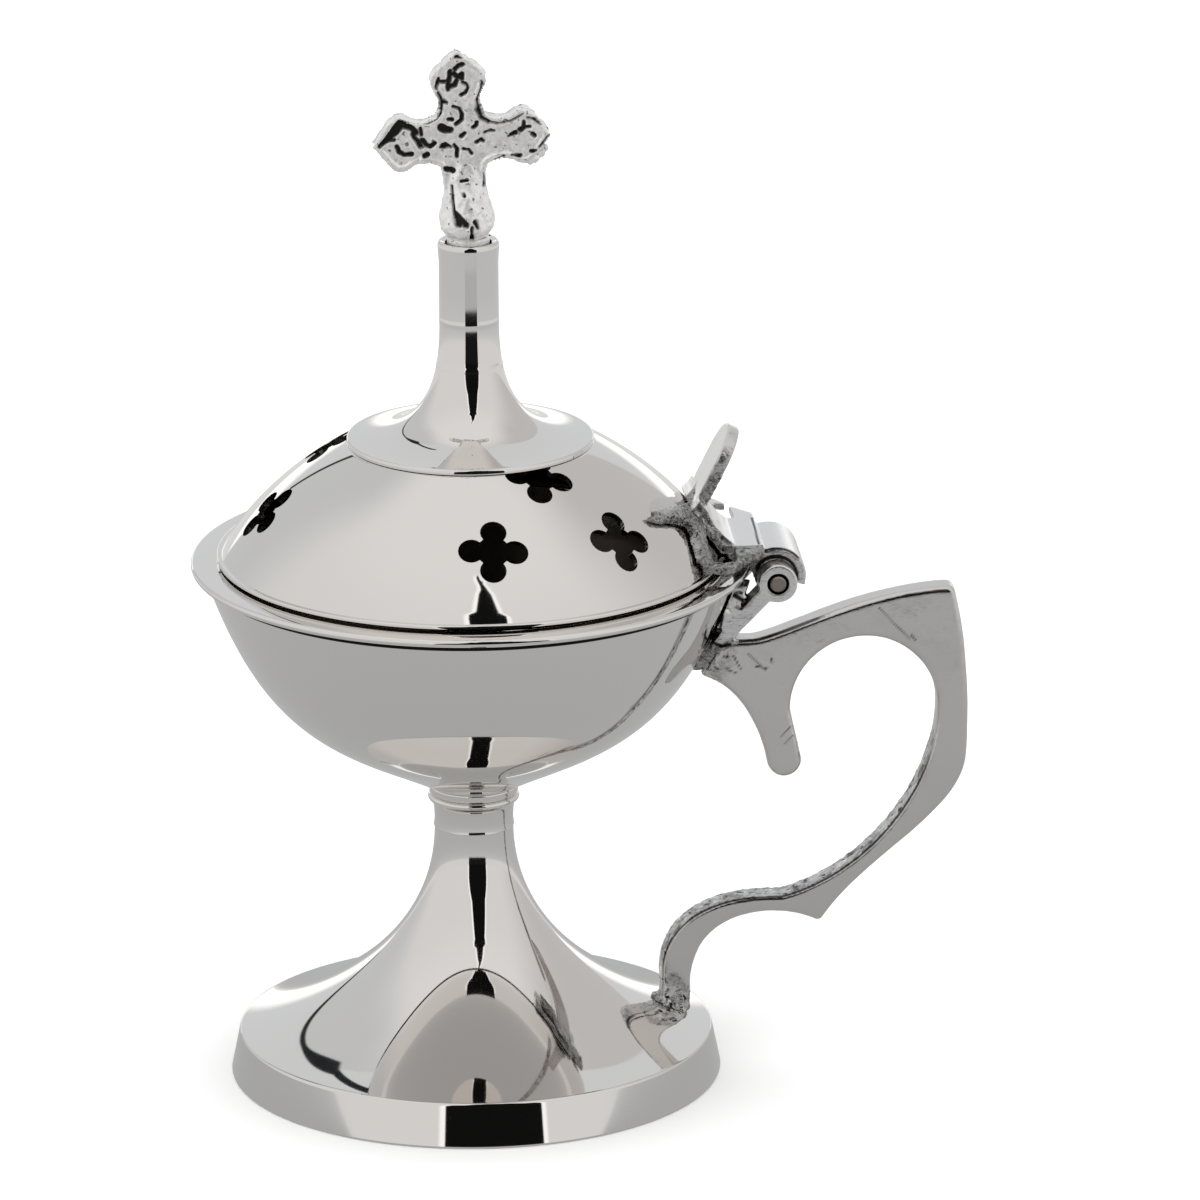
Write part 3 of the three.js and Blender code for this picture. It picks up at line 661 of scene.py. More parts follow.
# Nicks and scratches on the handle's faces: half width at the ends, then (x, z) points
handle_nicks = (
    (0.1, 0.04, (40.1, 59.3), (41.8, 58.9)),
    (0.05, 0.05, (38.9, 61.2), (41.5, 58.6)),
    (0.14, 0.06, (42.3, 60.4), (42.4, 59.6)),
    (0.1, 0.05, (36.9, 60.9), (37.9, 59.0)),
    (0.08, 0.05, (36.0, 58.9), (37.3, 58.4)),
    (0.04, 0.04, (43.6, 48.6), (45.6, 50.8)),
    (0.04, 0.04, (44.2, 47.6), (46.0, 49.5)),
    (0.12, 0.05, (60.8, 69.4), (62.0, 69.2)),
    (0.1, 0.05, (62.2, 63.2), (62.9, 62.4)),
    (0.04, 0.04, (57.6, 67.4), (62.0, 62.6)),
    (0.1, 0.06, (65.6, 36.2), (66.1, 35.8)),
    (0.07, 0.04, (61.2, 32.0), (61.9, 31.2)),
)


def from_segment(across, up, start, end):
    """Distance of places from a segment, and how far along it they are, from 0 to 1."""
    (x0, z0), (x1, z1) = start, end
    dx, dz = x1 - x0, z1 - z0
    along = np.clip(((across - x0) * dx + (up - z0) * dz) / (dx * dx + dz * dz), 0, 1)
    return np.hypot(across - x0 - along * dx, up - z0 - along * dz), along


def near_lines(across, up, lines, spread=1.0):
    """1 on any of the lines, 0 away from them; each line is (half width, half width, point, point, ...)."""
    value = np.zeros(len(across))
    for first, last, *points in lines:
        steps = len(points) - 1
        for k, (start, end) in enumerate(zip(points, points[1:])):
            away, along = from_segment(across, up, start, end)
            half = spread * (first + (last - first) * (k + along) / steps)
            value = np.maximum(value, 1 - ease(away - half, -0.08, 0.12))
    return value


def make_handle():
    """Cast handle: a flat plate with broken edges, soldered to the foot, rough where no hand goes."""
    piece = upright_plate("handle_plate", handle_outline(), -handle_half, handle_half)
    apply_modifier(piece, "BEVEL", width=0.7 * MM, segments=4, limit_method="ANGLE",
                   angle_limit=math.radians(60))
    combine(piece, bowl_core(2.3), "DIFFERENCE")
    combine(piece, foot_core(0.25), "DIFFERENCE")
    drops = [bead(x, y, foot_height(math.hypot(x, y)) + 0.05, r) for x, y, r in solder_drops]
    piece = fuse("handle_casting", [piece, *drops], grain=0.27, softening=4)
    combine(piece, foot_core(0.05), "DIFFERENCE")

    def rough(places, normals):
        x, z = places[:, 0], places[:, 2]
        on_edge = 1 - ease(np.abs(normals[:, 1]), 0.35, 0.7)
        up_inside = ease(normals[:, 2], 0.05, 0.3) * on_edge * ease(-z, -50, -46)
        front = ease(-normals[:, 1], 0.3, 0.7)
        soldered = (1 - ease(z + 0.5 * x, 25.0, 29.0)) * (1 - ease(z, 14.0, 18.0))
        root = (1 - ease(x - 0.3 * (z - 60), 34.5, 37.5)) * ease(z, 50, 52) * (1 - 0.4 * front)
        return np.maximum(np.maximum(up_inside, soldered), root)

    # painted dark reflection: a near-black line along the inner lower corner of the broken edge; the nicks
    # and scratches are real marks
    def corner_reflection_and_nicks(places, normals):
        x, z = places[:, 0], places[:, 2]
        side = np.abs(normals[:, 1])
        inner = ease(normals[:, 2], 0.0, 0.15) * ease(-z, -48, -42) * ease(x + z, 38.0, 42.0)
        nicked = near_lines(x, z, handle_nicks) * ease(side, 0.8, 0.9)
        return np.maximum(ease(side, 0.5, 0.62) * (1 - ease(side, 0.8, 0.92)) * inner, nicked)

    # the painted dark reflection and the nicks go near black
    paint(piece, "recess", corner_reflection_and_nicks)
    paint(piece, "rough", rough)
    paint(piece, "worn", lambda places, normals: 1 - rough(places, normals))
    hammer(piece, grain=0.9, depth=0.4, group="rough")
    hammer(piece, grain=0.4, depth=0.16, group="rough")
    hammer(piece, grain=5.0, depth=0.12)
    bpy.ops.object.shade_smooth()
    mount(piece, "stand", "cast_plate", "handle")


# Hinge brackets

pin_x, pin_z = 42.5013, rim_top - 2.45
knuckle = 2.9
half_knuckle = 6.4
ear_inside, ear_outside = 6.7, 10.1
ear_radius = 2.75
hood = 4.35
pin_hole = 1.2
lever_root = 31.3
lever_length = 13.2
lever_half = 4.5
lever_lean = math.radians(26.5)
bore_reach = 11.0
sink_radius = 1.5
saddle_half = 16.5
saddle_step = 11.2
pad_half = 3.4
parting_depth = 0.12


def dome_core(gap):
    """Solid body just outside the lid's dome."""
    skin = offset(dome, -gap)
    return spun("dome_core", [(0.01, lid_base - 3), (lid_radius + gap, lid_base - 3),
                              (lid_radius + gap, lid_base + lid_edge), *skin,
                              (0.01, skin[-1][1])], 128)


def mirrored(half):
    """An outline and its mirror image over the X axis."""
    return [*half, *[(x, -y) for x, y in reversed(half) if abs(y) > 1e-6]]


def on_dome(*places):
    """Bar points that follow the lid, from (x, y, lift off it, radius)."""
    return [(x, y, dome_height(math.hypot(x, y)) + lift, r) for x, y, lift, r in places]


def make_lid_bracket():
    """Cast bracket of the lid: saddle with a long near horn, two wings, thumb lever and knuckle arm."""
    waist = lid_radius - 6.6
    foot = lid_radius - 4.6
    tip = (23.6, -15.9)
    near = [
        *curve([(31.4, -0.01), (31.0, -7.0), tip], 12),
        *curve([tip, ((waist + foot - 6.6) / 2, -13.5), (waist, -saddle_step)], 10)[1:],
        *curve([(waist, -saddle_step), (foot, -saddle_step), (foot, -saddle_half)], 8)[1:],
        (rim_radius, -saddle_half),
    ]
    far = [(31.5, 0.01), (31.7, 4.0), (32.1, 8.0), (32.6, 11.5), (33.2, saddle_half),
           (rim_radius, saddle_half)]
    saddle = level_plate("saddle", [*near, *reversed(far)], lid_base + 0.9, lid_top)
    combine(saddle, dome_core(1.3), "INTERSECT")
    horn = rib("horn", on_dome(
        (23.4, -16.1, 0.3, 0.25), (24.4, -15.4, 0.5, 0.6), (25.6, -14.2, 0.7, 0.9), (27.0, -12.4, 0.9, 1.1),
        (28.4, -10.2, 0.9, 1.15), (29.6, -8.0, 0.6, 1.1), (30.4, -6.0, 0.2, 0.9)))
    strip = rib("strip", on_dome(
        (29.8, -8.4, 0.1, 0.9), (30.0, -11.0, 0.3, 0.75), (30.3, -13.4, 0.3, 0.7), (30.8, -15.4, 0.3, 0.8)))
    wings = level_plate("wings", mirrored([
        (foot, saddle_half), (lid_radius, saddle_half), (rim_radius - 1.7, 12.5),
        (pin_x - 1.8, half_knuckle + 2.6), (pin_x - 1.8, half_knuckle)]), lid_base + 0.9, lid_base + 2.1)
    root_z = dome_height(lever_root)
    shoulder = lever_length - 9.0
    lever = upright_plate("lever", [
        (-3.4, -2.4), (3.4, -2.4), (lever_half, shoulder),
        *arc(0, lever_length - lever_half, lever_half, 0, 180, 24), (-lever_half, shoulder)], -0.9, 0.9)
    lever.data.transform(Matrix.Translation((lever_root * MM, 0, root_z * MM))
                         @ Matrix.Rotation(lever_lean, 4, "Y")
                         @ Matrix.Rotation(math.pi / 2, 4, "Z"))
    arm = upright_plate("hinge_arm", [
        (30.2, root_z), (30.4, root_z + 1.4), (31.2, root_z + 2.0), (31.8, 85.4), (33.0, 83.6),
        (33.9, 81.7), (35.3, 80.0), (36.9, 78.6), (38.6, 77.6), (39.9, 77.2),
        *arc(pin_x, pin_z, hood, 124, -20, 34),
        (pin_x, pin_z), (38.9, 74.6), (38.1, 75.5), (36.6, 76.1), (35.3, 77.1), (34.0, 77.7), (32.6, 79.1),
        (31.1, 81.0)], -half_knuckle, half_knuckle)
    barrel = hinge_barrel("knuckle", knuckle, -half_knuckle, half_knuckle)
    parts = [saddle, horn, strip, wings, lever, arm, barrel]
    piece = fuse("lid_bracket_casting", parts, grain=0.2, softening=0)
    combine(piece, dome_core(0.25), "DIFFERENCE")
    hole = [(32.2, 6.9), (32.3, 9.4), (32.7, 13.4), (34.6, 14.5), (36.3, 13.5), (36.6, 6.7)]
    for side, onward in ((-1, 0.0), (1, 1.3)):
        outline = [(x + onward, side * y) for x, y in hole]
        combine(piece, level_plate("window", outline, lid_base - 1, lid_top), "DIFFERENCE")
    combine(piece, hinge_barrel("pin_bore", pin_hole, -bore_reach, bore_reach), "DIFFERENCE")
    piece = fuse("lid_bracket_casting", [piece], grain=0.18, softening=3)

    def worn(places, normals):
        x, y, z = places.T
        sideways = ease(np.abs(normals[:, 1]), 0.35, 0.7)
        inside = np.maximum(ease(-np.abs(y), -7.0, -6.7) * ease(x - 0.2 * y, 31.6, 32.0), ease(y, 0.5, 1.5))
        top = (1 - sideways) * ease(normals[:, 2], -0.1, 0.2)
        far = ease(y, 5.5, 6.5)
        hood_side = ease(x, 40.2, 41.2) * 0.85 * sideways * inside
        lever = ease(z, 84.5, 88.0) * np.maximum(1 - sideways, 0.75 * ease(z, 86.0, 92.0))
        return np.clip(np.maximum.reduce([top * inside, far, hood_side, lever]), 0, 1)

    # painted shade: a black arc in the gap behind the ear and a black line along the hood's upper edge; the
    # line across the hood top is the real parting line
    def seam(places, normals):
        x, y, z = places.T
        line = (1 - ease(np.abs(x - 40.25 - 0.02 * y), 0.1, 0.24)) * ease(z, 76.8, 77.0) * (np.abs(y) < 6.5)
        side = ease(np.abs(normals[:, 1]), 0.3, 0.5) * ease(x, 39.5, 40.0) * (np.abs(y) < 7)
        from_pin = np.hypot(x - pin_x, z - pin_z)
        behind_ear = ease(from_pin, 2.6, 2.7) * (1 - ease(from_pin, 3.15, 3.3)) * ease(z, 73.0, 74.0)
        edge = ease(from_pin, 3.93, 4.03)
        return np.maximum(line, side * np.maximum(behind_ear, edge * ease(z, 76.2, 76.6)))

    paint(piece, "worn", worn)
    paint(piece, "rough", lambda places, normals: 1 - worn(places, normals))
    # the painted shade behind the ear and along the hood edge goes near black with the parting line, and
    # all of it is sunk a little
    paint(piece, "recess", seam)
    raise_painted(piece, "recess", -parting_depth)
    hammer(piece, grain=1.0, depth=0.5, group="rough")
    hammer(piece, grain=0.4, depth=0.22, group="rough")
    mount(piece, "lid_assembly", "cast_plate", "lid_bracket")


def make_bowl_bracket():
    """Cast bracket of the bowl: a forked pad, two straps, two ears for the pin, and runs of braze."""
    low, high = rim_top - 17.0, rim_top - 2.6
    spread = high - 6.0
    fork = [
        (-pad_half, low), (pad_half, low),
        *curve([(pad_half, low), (pad_half, (low + spread) / 2), (ear_outside, spread)], 12)[1:],
        (ear_outside, high), (-ear_outside, high),
        *curve([(-ear_outside, spread), (-pad_half, (low + spread) / 2), (-pad_half, low)], 12)[:-1],
    ]
    pad = fill_chain([(20.0, y, z) for y, z in fork], "pad")
    bpy.ops.mesh.extrude_region_move(TRANSFORM_OT_translate={"value": (25 * MM, 0, 0)})
    finish_mesh(pad)
    combine(pad, bowl_core(2.0), "INTERSECT")
    pieces = [pad]
    strap = [
        (42.9, 71.3), (41.3, 71.3), (39.1, 69.0), (37.4, 67.3), (35.9, 65.6), (34.6, 64.2), (32.6, 63.6),
        (33.1, 65.2), (34.5, 67.1), (35.9, 69.4), (37.9, 70.9), (39.1, 72.3), (40.2, 73.4), (42.4, 73.6)]
    for side in (-1, 1):
        low_y, high_y = sorted((side * ear_inside, side * ear_outside))
        pieces.append(upright_plate("ear_strap", strap, low_y, high_y))
        pieces.append(hinge_barrel("ear", ear_radius, low_y, high_y))
        # braze: a curl under the rim, a wavy fillet on the strap's foot and a crease on its back
        curl = [(36.9 + 0.95 * math.cos(a), side * 9.9, 71.4 + 1.15 * math.sin(a), 0.34)
                for a in np.linspace(0.4, 5.4, 16)]
        pieces.append(rib("curl", curl))
        wave = ((33.4, 65.4, 0.5), (34.3, 64.6, 0.6), (35.2, 64.9, 0.5), (36.0, 65.7, 0.55),
                (36.9, 65.3, 0.45))
        pieces.append(rib("fillet", [(x, side * 9.7, z, r) for x, z, r in wave]))
        pieces.append(rib("crease", [(33.4, side * 10.0, 71.6, 0.35), (34.4, side * 10.1, 70.5, 0.5),
                                     (35.4, side * 10.0, 69.6, 0.3)]))
    piece = fuse("bowl_bracket_casting", pieces, grain=0.18, softening=0)
    combine(piece, bowl_core(0.25), "DIFFERENCE")
    combine(piece, hinge_barrel("hood_room", hood + 0.3, -ear_inside, ear_inside), "DIFFERENCE")
    combine(piece, hinge_barrel("pin_bore", pin_hole, -bore_reach, bore_reach), "DIFFERENCE")
    for side in (-1, 1):
        sink = sorted((side * 9.6, side * 11.0))
        combine(piece, hinge_barrel("countersink", sink_radius, *sink), "DIFFERENCE")
    piece = fuse("bowl_bracket_casting", [piece], grain=0.16, softening=2)

    def filed(places, normals):
        out = ease(np.abs(places[:, 1]), 9.6, 9.95) * ease(np.abs(normals[:, 1]), 0.3, 0.6)
        ear = ease(places[:, 0], 38.0, 39.0)
        return np.maximum(out * 0.9, ear) * ease(places[:, 2], 64.5, 66.5)

    # painted shade: a black ring round the pin where it sits in the countersink, and black in the crevices
    # of the braze
    def pin_and_crevice_shade(places, normals):
        x, y, z = places.T
        about_pin = 1 - ease(np.hypot(x - pin_x, z - pin_z), 1.5, 1.62)
        crevice = near_lines(x, z, ((0.3, 0.15, (33.6, 71.0), (34.6, 69.4), (34.2, 67.2)),
                                    (0.35, 0.2, (36.4, 72.4), (37.6, 71.6), (37.3, 70.4)),
                                    (0.2, 0.3, (33.2, 65.6), (34.4, 65.0), (35.6, 65.2))))
        return np.maximum(about_pin, crevice * ease(np.abs(normals[:, 1]), 0.2, 0.5)) * (np.abs(y) > 9.0)

    # the painted shade goes near black
    paint(piece, "recess", pin_and_crevice_shade)
    paint(piece, "worn", filed)
    paint(piece, "rough", lambda places, normals: 1 - filed(places, normals))
    hammer(piece, grain=0.9, depth=0.35, group="rough")
    mount(piece, "stand", "cast_plate", "bowl_bracket")


def make_pin():
    """Turned hinge pin, its two ends broken."""
    end = ear_outside + 0.2
    piece = spun("turned_pin", [(0.001, -end), (0.95, -end), (1.12, -end + 0.17), (1.15, -end + 0.4),
                               (1.15, end - 0.4), (1.12, end - 0.17), (0.95, end), (0.001, end)], 48)
    seat = Matrix.Translation((pin_x * MM, 0, pin_z * MM))
    piece.data.transform(seat @ Matrix.Rotation(math.pi / 2, 4, "X"))
    mount(piece, "stand", "turned_plate", "hinge_pin")


# Bolt, rod, nuts and washers

def chamfered(name, radius, low, high, hole=0.001, cut=0.2, facets=64):
    """Turned disc or bar with its outer edges broken, bored if a hole is given."""
    return spun(name, [(hole, low), (radius - cut, low), (radius, low + cut), (radius, high - cut),
                       (radius - cut, high), (hole, high)], facets)


def hexagon_nut(name, flats, low, high, hole):
    """Hexagon nut: a hexagon bar rounded off at both ends and bored."""
    corner = flats / math.sqrt(3)
    piece = level_plate(name, arc(0, 0, corner, 0, 300, 5), low, high)
    rounding = spun("rounding", [(0.001, low), (flats / 2 - 0.1, low), (corner + 0.1, low + 0.45),
                                 (corner + 0.1, high - 0.45), (flats / 2 - 0.1, high), (0.001, high)], 96)
    combine(piece, rounding, "INTERSECT")
    combine(piece, chamfered("bore", hole, low - 1, high + 1), "DIFFERENCE")
    bpy.ops.object.shade_smooth_by_angle(angle=sharp_angle)
    return piece


def threads(radius, depth, low, pitch, count):
    """Zigzag side of a threaded bar, as (radius, height)."""
    return [(radius - (depth if k % 2 else 0.0), low + pitch * k) for k in range(count)]


def make_turned_parts():
    """What holds foot, bowl, lid and spire together inside: washers, nuts, stud and screw."""
    for node, body, hole in (("stem_washer", "stand", bolt_hole), ("lid_washer", "lid_assembly", rod_hole)):
        low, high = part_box(node)
        piece = chamfered(node + "_disc", high.x / MM, low.z / MM, high.z / MM, hole)
        mount(piece, body, "turned_plate", node)
    for node, body, hole in (("stem_nut", "stand", bolt_hole), ("lid_nut", "lid_assembly", rod_hole)):
        low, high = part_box(node)
        flats = min(high.x - low.x, high.y - low.y) / MM
        piece = hexagon_nut(node + "_hexagon", flats, low.z / MM, high.z / MM, hole)
        mount(piece, body, "turned_plate", node)
    low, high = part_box("finial_rod")
    radius, end, top = high.x / MM, low.z / MM, high.z / MM
    rod = spun("finial_stud", [
        (0.001, end), (radius - 0.3, end), *threads(radius, 0.12, end + 0.3, 0.25, 24),
        (radius, top - 0.2), (radius - 0.2, top), (0.001, top)], 48)
    mount(rod, "lid_assembly", "turned_plate", "finial_rod")
    low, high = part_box("stem_bolt")
    radius, end, top = high.x / MM, low.z / MM, high.z / MM
    shank = 2.0
    bolt = spun("stem_screw", [
        (0.001, end), (shank - 0.3, end), *threads(shank, 0.15, end + 0.3, 0.3, 20),
        (shank, top - 2.2), (radius, top - 2.2),
        *curve([(radius, top - 1.5), (radius - 0.2, top), (1.5, top)], 10), (0.001, top)], 64)
    mount(bolt, "stand", "turned_plate", "stem_bolt")


# Finial cross

def arm_half(length):
    """Half outline of one arm of the cross, from its corner to its tip, as (along, aside)."""
    return [
        *curve([(3.4, 3.4), (4.6, 2.8), (5.9, 2.8)], 6),
        *curve([(5.9, 2.8), (7.2, 2.9), (7.4, 3.8), (8.9, 3.85)], 8)[1:],
        *curve([(8.9, 3.85), (10.3, 3.4), (length - 0.8, 0.9), (length, 0.0)], 8)[1:],
    ]


def cross_outline():
    """Outline of the cross as (across, up): right, top and left arm, then the head of the stem."""
    arms = ((12.35, 0), (12.7, 90), (12.35, 180))
    points = []
    for length, heading in arms:
        half = arm_half(length)
        full = [*[(a, -b) for a, b in half], *reversed(half[:-1])]
        turn = math.radians(heading)
        points += [(a * math.cos(turn) - b * math.sin(turn), a * math.sin(turn) + b * math.cos(turn))
                   for a, b in full]
    stem = [(-3.2, -3.6), (-3.0, -4.6), (-2.9, -6.8), (2.9, -6.8), (3.0, -4.6), (3.2, -3.6)]
    return points + stem


# Sunk lines of the scroll ornament, on both faces: half width at the ends, then (across, up) points
sunk_lines = (
    # top arm
    (0.2, 0.2, (-0.02, 12.12), (0.71, 12.07)),
    (0.22, 0.2, (-0.36, 10.25), (0.2, 10.8), (0.77, 10.95)),
    (0.2, 0.3, (-1.0, 10.01), (-1.17, 9.04), (-1.31, 8.61)),
    (0.15, 0.2, (-2.71, 8.71), (-1.93, 8.61), (-1.38, 8.73)),
    (0.25, 0.2, (-0.51, 9.65), (-0.03, 9.07), (0.59, 9.57), (0.54, 8.92)),
    (0.25, 0.25, (-1.39, 8.62), (-1.39, 7.53)),
    (0.25, 0.2, (-1.37, 7.75), (-0.52, 8.01), (-0.22, 8.65)),
    (0.15, 0.15, (0.58, 8.33), (1.15, 8.12), (1.36, 7.56), (0.81, 6.83), (0.21, 6.55)),
    (0.2, 0.1, (-3.02, 7.97), (-2.68, 9.15)),
    (0.15, 0.28, (-2.81, 7.3), (-2.49, 6.08), (-2.68, 4.57), (-3.53, 3.65)),
    (0.28, 0.18, (-3.53, 3.65), (-4.61, 3.18), (-6.25, 3.4), (-8.0, 3.68)),
    (0.3, 0.15, (-2.33, 5.9), (-1.83, 5.64)),
    (0.12, 0.42, (3.16, 8.41), (3.43, 7.52), (3.16, 6.56), (2.79, 5.5)),
    (0.45, 0.2, (2.79, 5.5), (2.57, 4.2), (2.91, 3.09), (3.86, 2.48)),
    (0.12, 0.1, (3.86, 2.48), (5.08, 2.11), (6.96, 2.33), (8.69, 3.21)),
    # left arm
    (0.5, 0.16, (-8.34, 3.0), (-9.25, 2.09), (-10.37, 0.97), (-11.5, 0.05)),
    (0.32, 0.24, (-8.17, 2.77), (-6.95, 2.36), (-6.28, 1.55), (-6.71, 1.36)),
    (0.24, 0.24, (-6.81, 1.37), (-6.26, 0.46), (-5.8, -0.44)),
    (0.15, 0.15, (-10.38, 0.86), (-9.45, 0.79)),
    (0.22, 0.2, (-9.11, -0.21), (-8.89, -0.92), (-8.16, -1.48), (-7.12, -1.44)),
    (0.28, 0.15, (-5.53, 0.52), (-5.06, -0.27), (-4.46, -0.53), (-3.8, -0.1)),
    (0.2, 0.25, (-5.38, -1.73), (-4.99, -1.63)),
    (0.12, 0.18, (-5.67, 2.27), (-5.62, 1.29)),
    # middle
    (0.15, 0.2, (-0.94, 4.99), (-0.04, 4.6), (0.26, 3.82), (0.11, 2.96), (-0.67, 2.43)),
    (0.4, 0.3, (-2.71, 2.07), (-2.11, 1.74), (-1.5, 1.61)),
    (0.12, 0.12, (-3.06, -0.74), (-2.36, -0.25), (-1.61, -0.84)),
    (0.3, 0.2, (-2.6, -0.6), (-2.0, -0.65)),
    (0.15, 0.2, (-1.14, -0.55), (-0.73, -1.23), (-0.88, -2.2)),
    (0.18, 0.18, (-1.7, 3.19), (-1.18, 3.16)),
    (0.2, 0.15, (-0.12, 0.64), (0.47, 1.04)),
    (0.2, 0.15, (1.69, 1.76), (2.13, 2.06), (2.24, 2.48)),
    (0.12, 0.15, (0.06, -1.18), (0.88, -1.34), (1.25, -1.98)),
    (0.15, 0.12, (1.95, -0.37), (2.64, 0.02), (3.04, -0.29)),
    # right arm
    (0.15, 0.1, (3.23, 0.98), (3.87, 1.15), (4.55, 1.1)),
    (0.1, 0.22, (6.43, 0.12), (6.93, 0.42), (7.57, 0.59)),
    (0.15, 0.25, (8.78, 2.14), (8.65, 1.17), (8.21, 0.94)),
    (0.2, 0.12, (8.65, 1.28), (9.59, 1.32)),
    (0.1, 0.2, (9.31, 2.65), (10.29, 2.4), (11.12, 1.82)),
    (0.2, 0.2, (9.83, 0.26), (10.12, -0.02)),
    (0.2, 0.12, (12.2, -0.29), (11.6, -0.85), (10.73, -1.64)),
    (0.12, 0.12, (9.44, -2.2), (10.17, -2.16)),
    (0.1, 0.15, (3.81, -3.7), (4.58, -3.1), (5.65, -2.6)),
    (0.1, 0.15, (6.8, -2.5), (8.03, -2.7)),
    # stem
    (0.2, 0.25, (-2.6, -3.81), (-2.1, -4.0), (-1.61, -4.1)),
    (0.1, 0.13, (-1.9, -6.27), (-1.92, -7.9), (-1.86, -9.43)),
    (0.15, 0.35, (-1.79, -9.65), (-1.4, -11.42)),
    (0.15, 0.35, (-1.79, -9.65), (-0.27, -11.61)),
    (0.12, 0.12, (-0.57, -5.64), (0.38, -5.49)),
    (0.18, 0.15, (-0.28, -7.36), (-0.22, -7.5)),
    (0.25, 0.1, (1.1, -11.27), (1.38, -12.27)),
    (0.12, 0.2, (0.57, -12.0), (0.42, -14.0)),
    (0.1, 0.12, (2.8, -4.97), (2.7, -6.7)),
)


scroll_spread = 1.45  # the lines are cut wider than they are drawn


def on_faces(normals):
    """1 on the two faces of the cross, 0 on its edges."""
    return ease(np.abs(normals[:, 1]), 0.35, 0.6)


def sunk(places, normals):
    """1 inside a sunk line of the ornament, 0 away from it, on the two faces of the cross."""
    return near_lines(places[:, 0], places[:, 2], sunk_lines, scroll_spread) * on_faces(normals)


def raised_rim(places, normals):
    """1 along the border of the two faces of the plate."""
    outline = cross_outline()
    away = np.full(len(places), 10.0)
    for start, end in zip(outline, outline[1:]):
        if start != end:
            away = np.minimum(away, from_segment(places[:, 0], places[:, 2], start, end)[0])
    return (1 - ease(away, 0.55, 0.9)) * (on_faces(normals) * (places[:, 2] > -4.5))


cross_seat = 14.2  # from the middle of the cross down to its foot
cross_half = 1.35
rim_rise = 0.22
scroll_depth = 0.55
cross_turn = math.radians(-2)
cross_lean = math.radians(-3.2)


def make_cross():
    """Cast finial cross on a baluster, chased with scrolls, and the plug that holds it in the spire."""
    plate = upright_plate("cross_plate", cross_outline(), -cross_half, cross_half)
    vase = spun("baluster", [
        (0.01, -cross_seat), (2.95, -cross_seat), (2.95, -13.9),
        *curve([(2.95, -13.9), (4.4, -12.7), (4.2, -10.2), (2.95, -8.8), (2.9, -6.5)], 24)[1:],
        (2.9, -2.0), (0.01, -1.6)], 96)
    for vertex in vase.data.vertices:
        thin = 1 - 0.62 * float(ease(vertex.co.z / MM, -8.5, -3.0))
        vertex.co.y *= thin
    knobs = [bead(x, -0.6, z, r) for x, z, r in
             ((9.25, -3.7, 0.55), (10.07, -3.4, 0.6), (10.99, -2.85, 0.55), (11.6, -2.1, 0.45))]
    piece = fuse("cross_casting", [plate, vase, *knobs], grain=0.13, softening=4)
    hammer(piece, grain=1.5, depth=0.5)
    paint(piece, "rim", raised_rim)
    raise_painted(piece, "rim", rim_rise)
    # painted shade: the sunk lines are coloured near black as well as cut in
    paint(piece, "recess", sunk)
    raise_painted(piece, "recess", -scroll_depth)
    low = spire_top - 3.0
    lower = spun("cross_plug", [(1.7, low), (2.9, low), (3.0, low + 0.2), (3.0, spire_top + 0.3),
                                (2.7, spire_top + 0.6), (1.7, spire_top + 0.6)], 64)
    place = (Matrix.Translation((0, 0, (spire_top + 0.5) * MM))
             @ Matrix.Rotation(cross_turn, 4, "Z")
             @ Matrix.Rotation(cross_lean, 4, "Y")
             @ Matrix.Translation((0, 0, cross_seat * MM)))
    piece.data.transform(place)
    bpy.ops.object.shade_smooth()
    mount(piece, "lid_assembly", "cast_plate", "cross")
    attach(lower, "lid_assembly")


# Camera: the photograph's own viewing point, found from the rings of the object

camera_target = Vector((0, 0, 75 * MM))
camera_distance = 1.6
camera_elevation = math.radians(17.36)
camera_azimuth = math.radians(-4.0)
camera_roll = math.radians(0.56)
image_size = 1200
focal_pixels = 11339.4
target_pixel = (471.5, 564.5)
sensor_width = 36.0


def make_camera():
    """Camera aimed so that the target falls on its pixel of the photograph, with its small roll."""
    level = Vector((math.sin(camera_azimuth), -math.cos(camera_azimuth), 0)) * math.cos(camera_elevation)
    back = level + Vector((0, 0, math.sin(camera_elevation)))
    right = Vector((0, 0, 1)).cross(back).normalized()
    up = back.cross(right)
    leaning = (right * math.cos(camera_roll) - up * math.sin(camera_roll),
               right * math.sin(camera_roll) + up * math.cos(camera_roll))
    aside = (target_pixel[0] - image_size / 2) / focal_pixels
    above = (image_size / 2 - target_pixel[1]) / focal_pixels
    ahead = (-back - aside * leaning[0] - above * leaning[1]).normalized()
    right = (leaning[0] - leaning[0].dot(ahead) * ahead).normalized()
    up = right.cross(ahead)
    data = bpy.data.cameras.new("camera")
    data.lens = focal_pixels / image_size * sensor_width
    data.sensor_width = sensor_width
    data.clip_start = 0.05
    data.clip_end = 50
    camera = bpy.data.objects.new("camera", data)
    bpy.context.scene.collection.objects.link(camera)
    rows = [[right[i], up[i], -ahead[i], 0] for i in range(3)] + [[0, 0, 0, 1]]
    camera.matrix_world = Matrix.Translation(camera_target + back * camera_distance) @ Matrix(rows)
    bpy.context.scene.camera = camera


# Finishes and light; shared effects are node groups with named inputs and outputs

def node_group(name, inputs, outputs):
    """Empty shader node group; inputs and outputs as (name, kind, default)."""
    group = bpy.data.node_groups.new(name, "ShaderNodeTree")
    for label, kind, default in inputs:
        socket = group.interface.new_socket(label, in_out="INPUT", socket_type=kind)
        if default is not None:
            socket.default_value = default
    for label, kind in outputs:
        group.interface.new_socket(label, in_out="OUTPUT", socket_type=kind)
    group.nodes.new("NodeGroupInput").location = (-900, 0)
    group.nodes.new("NodeGroupOutput").location = (900, 0)
    return group


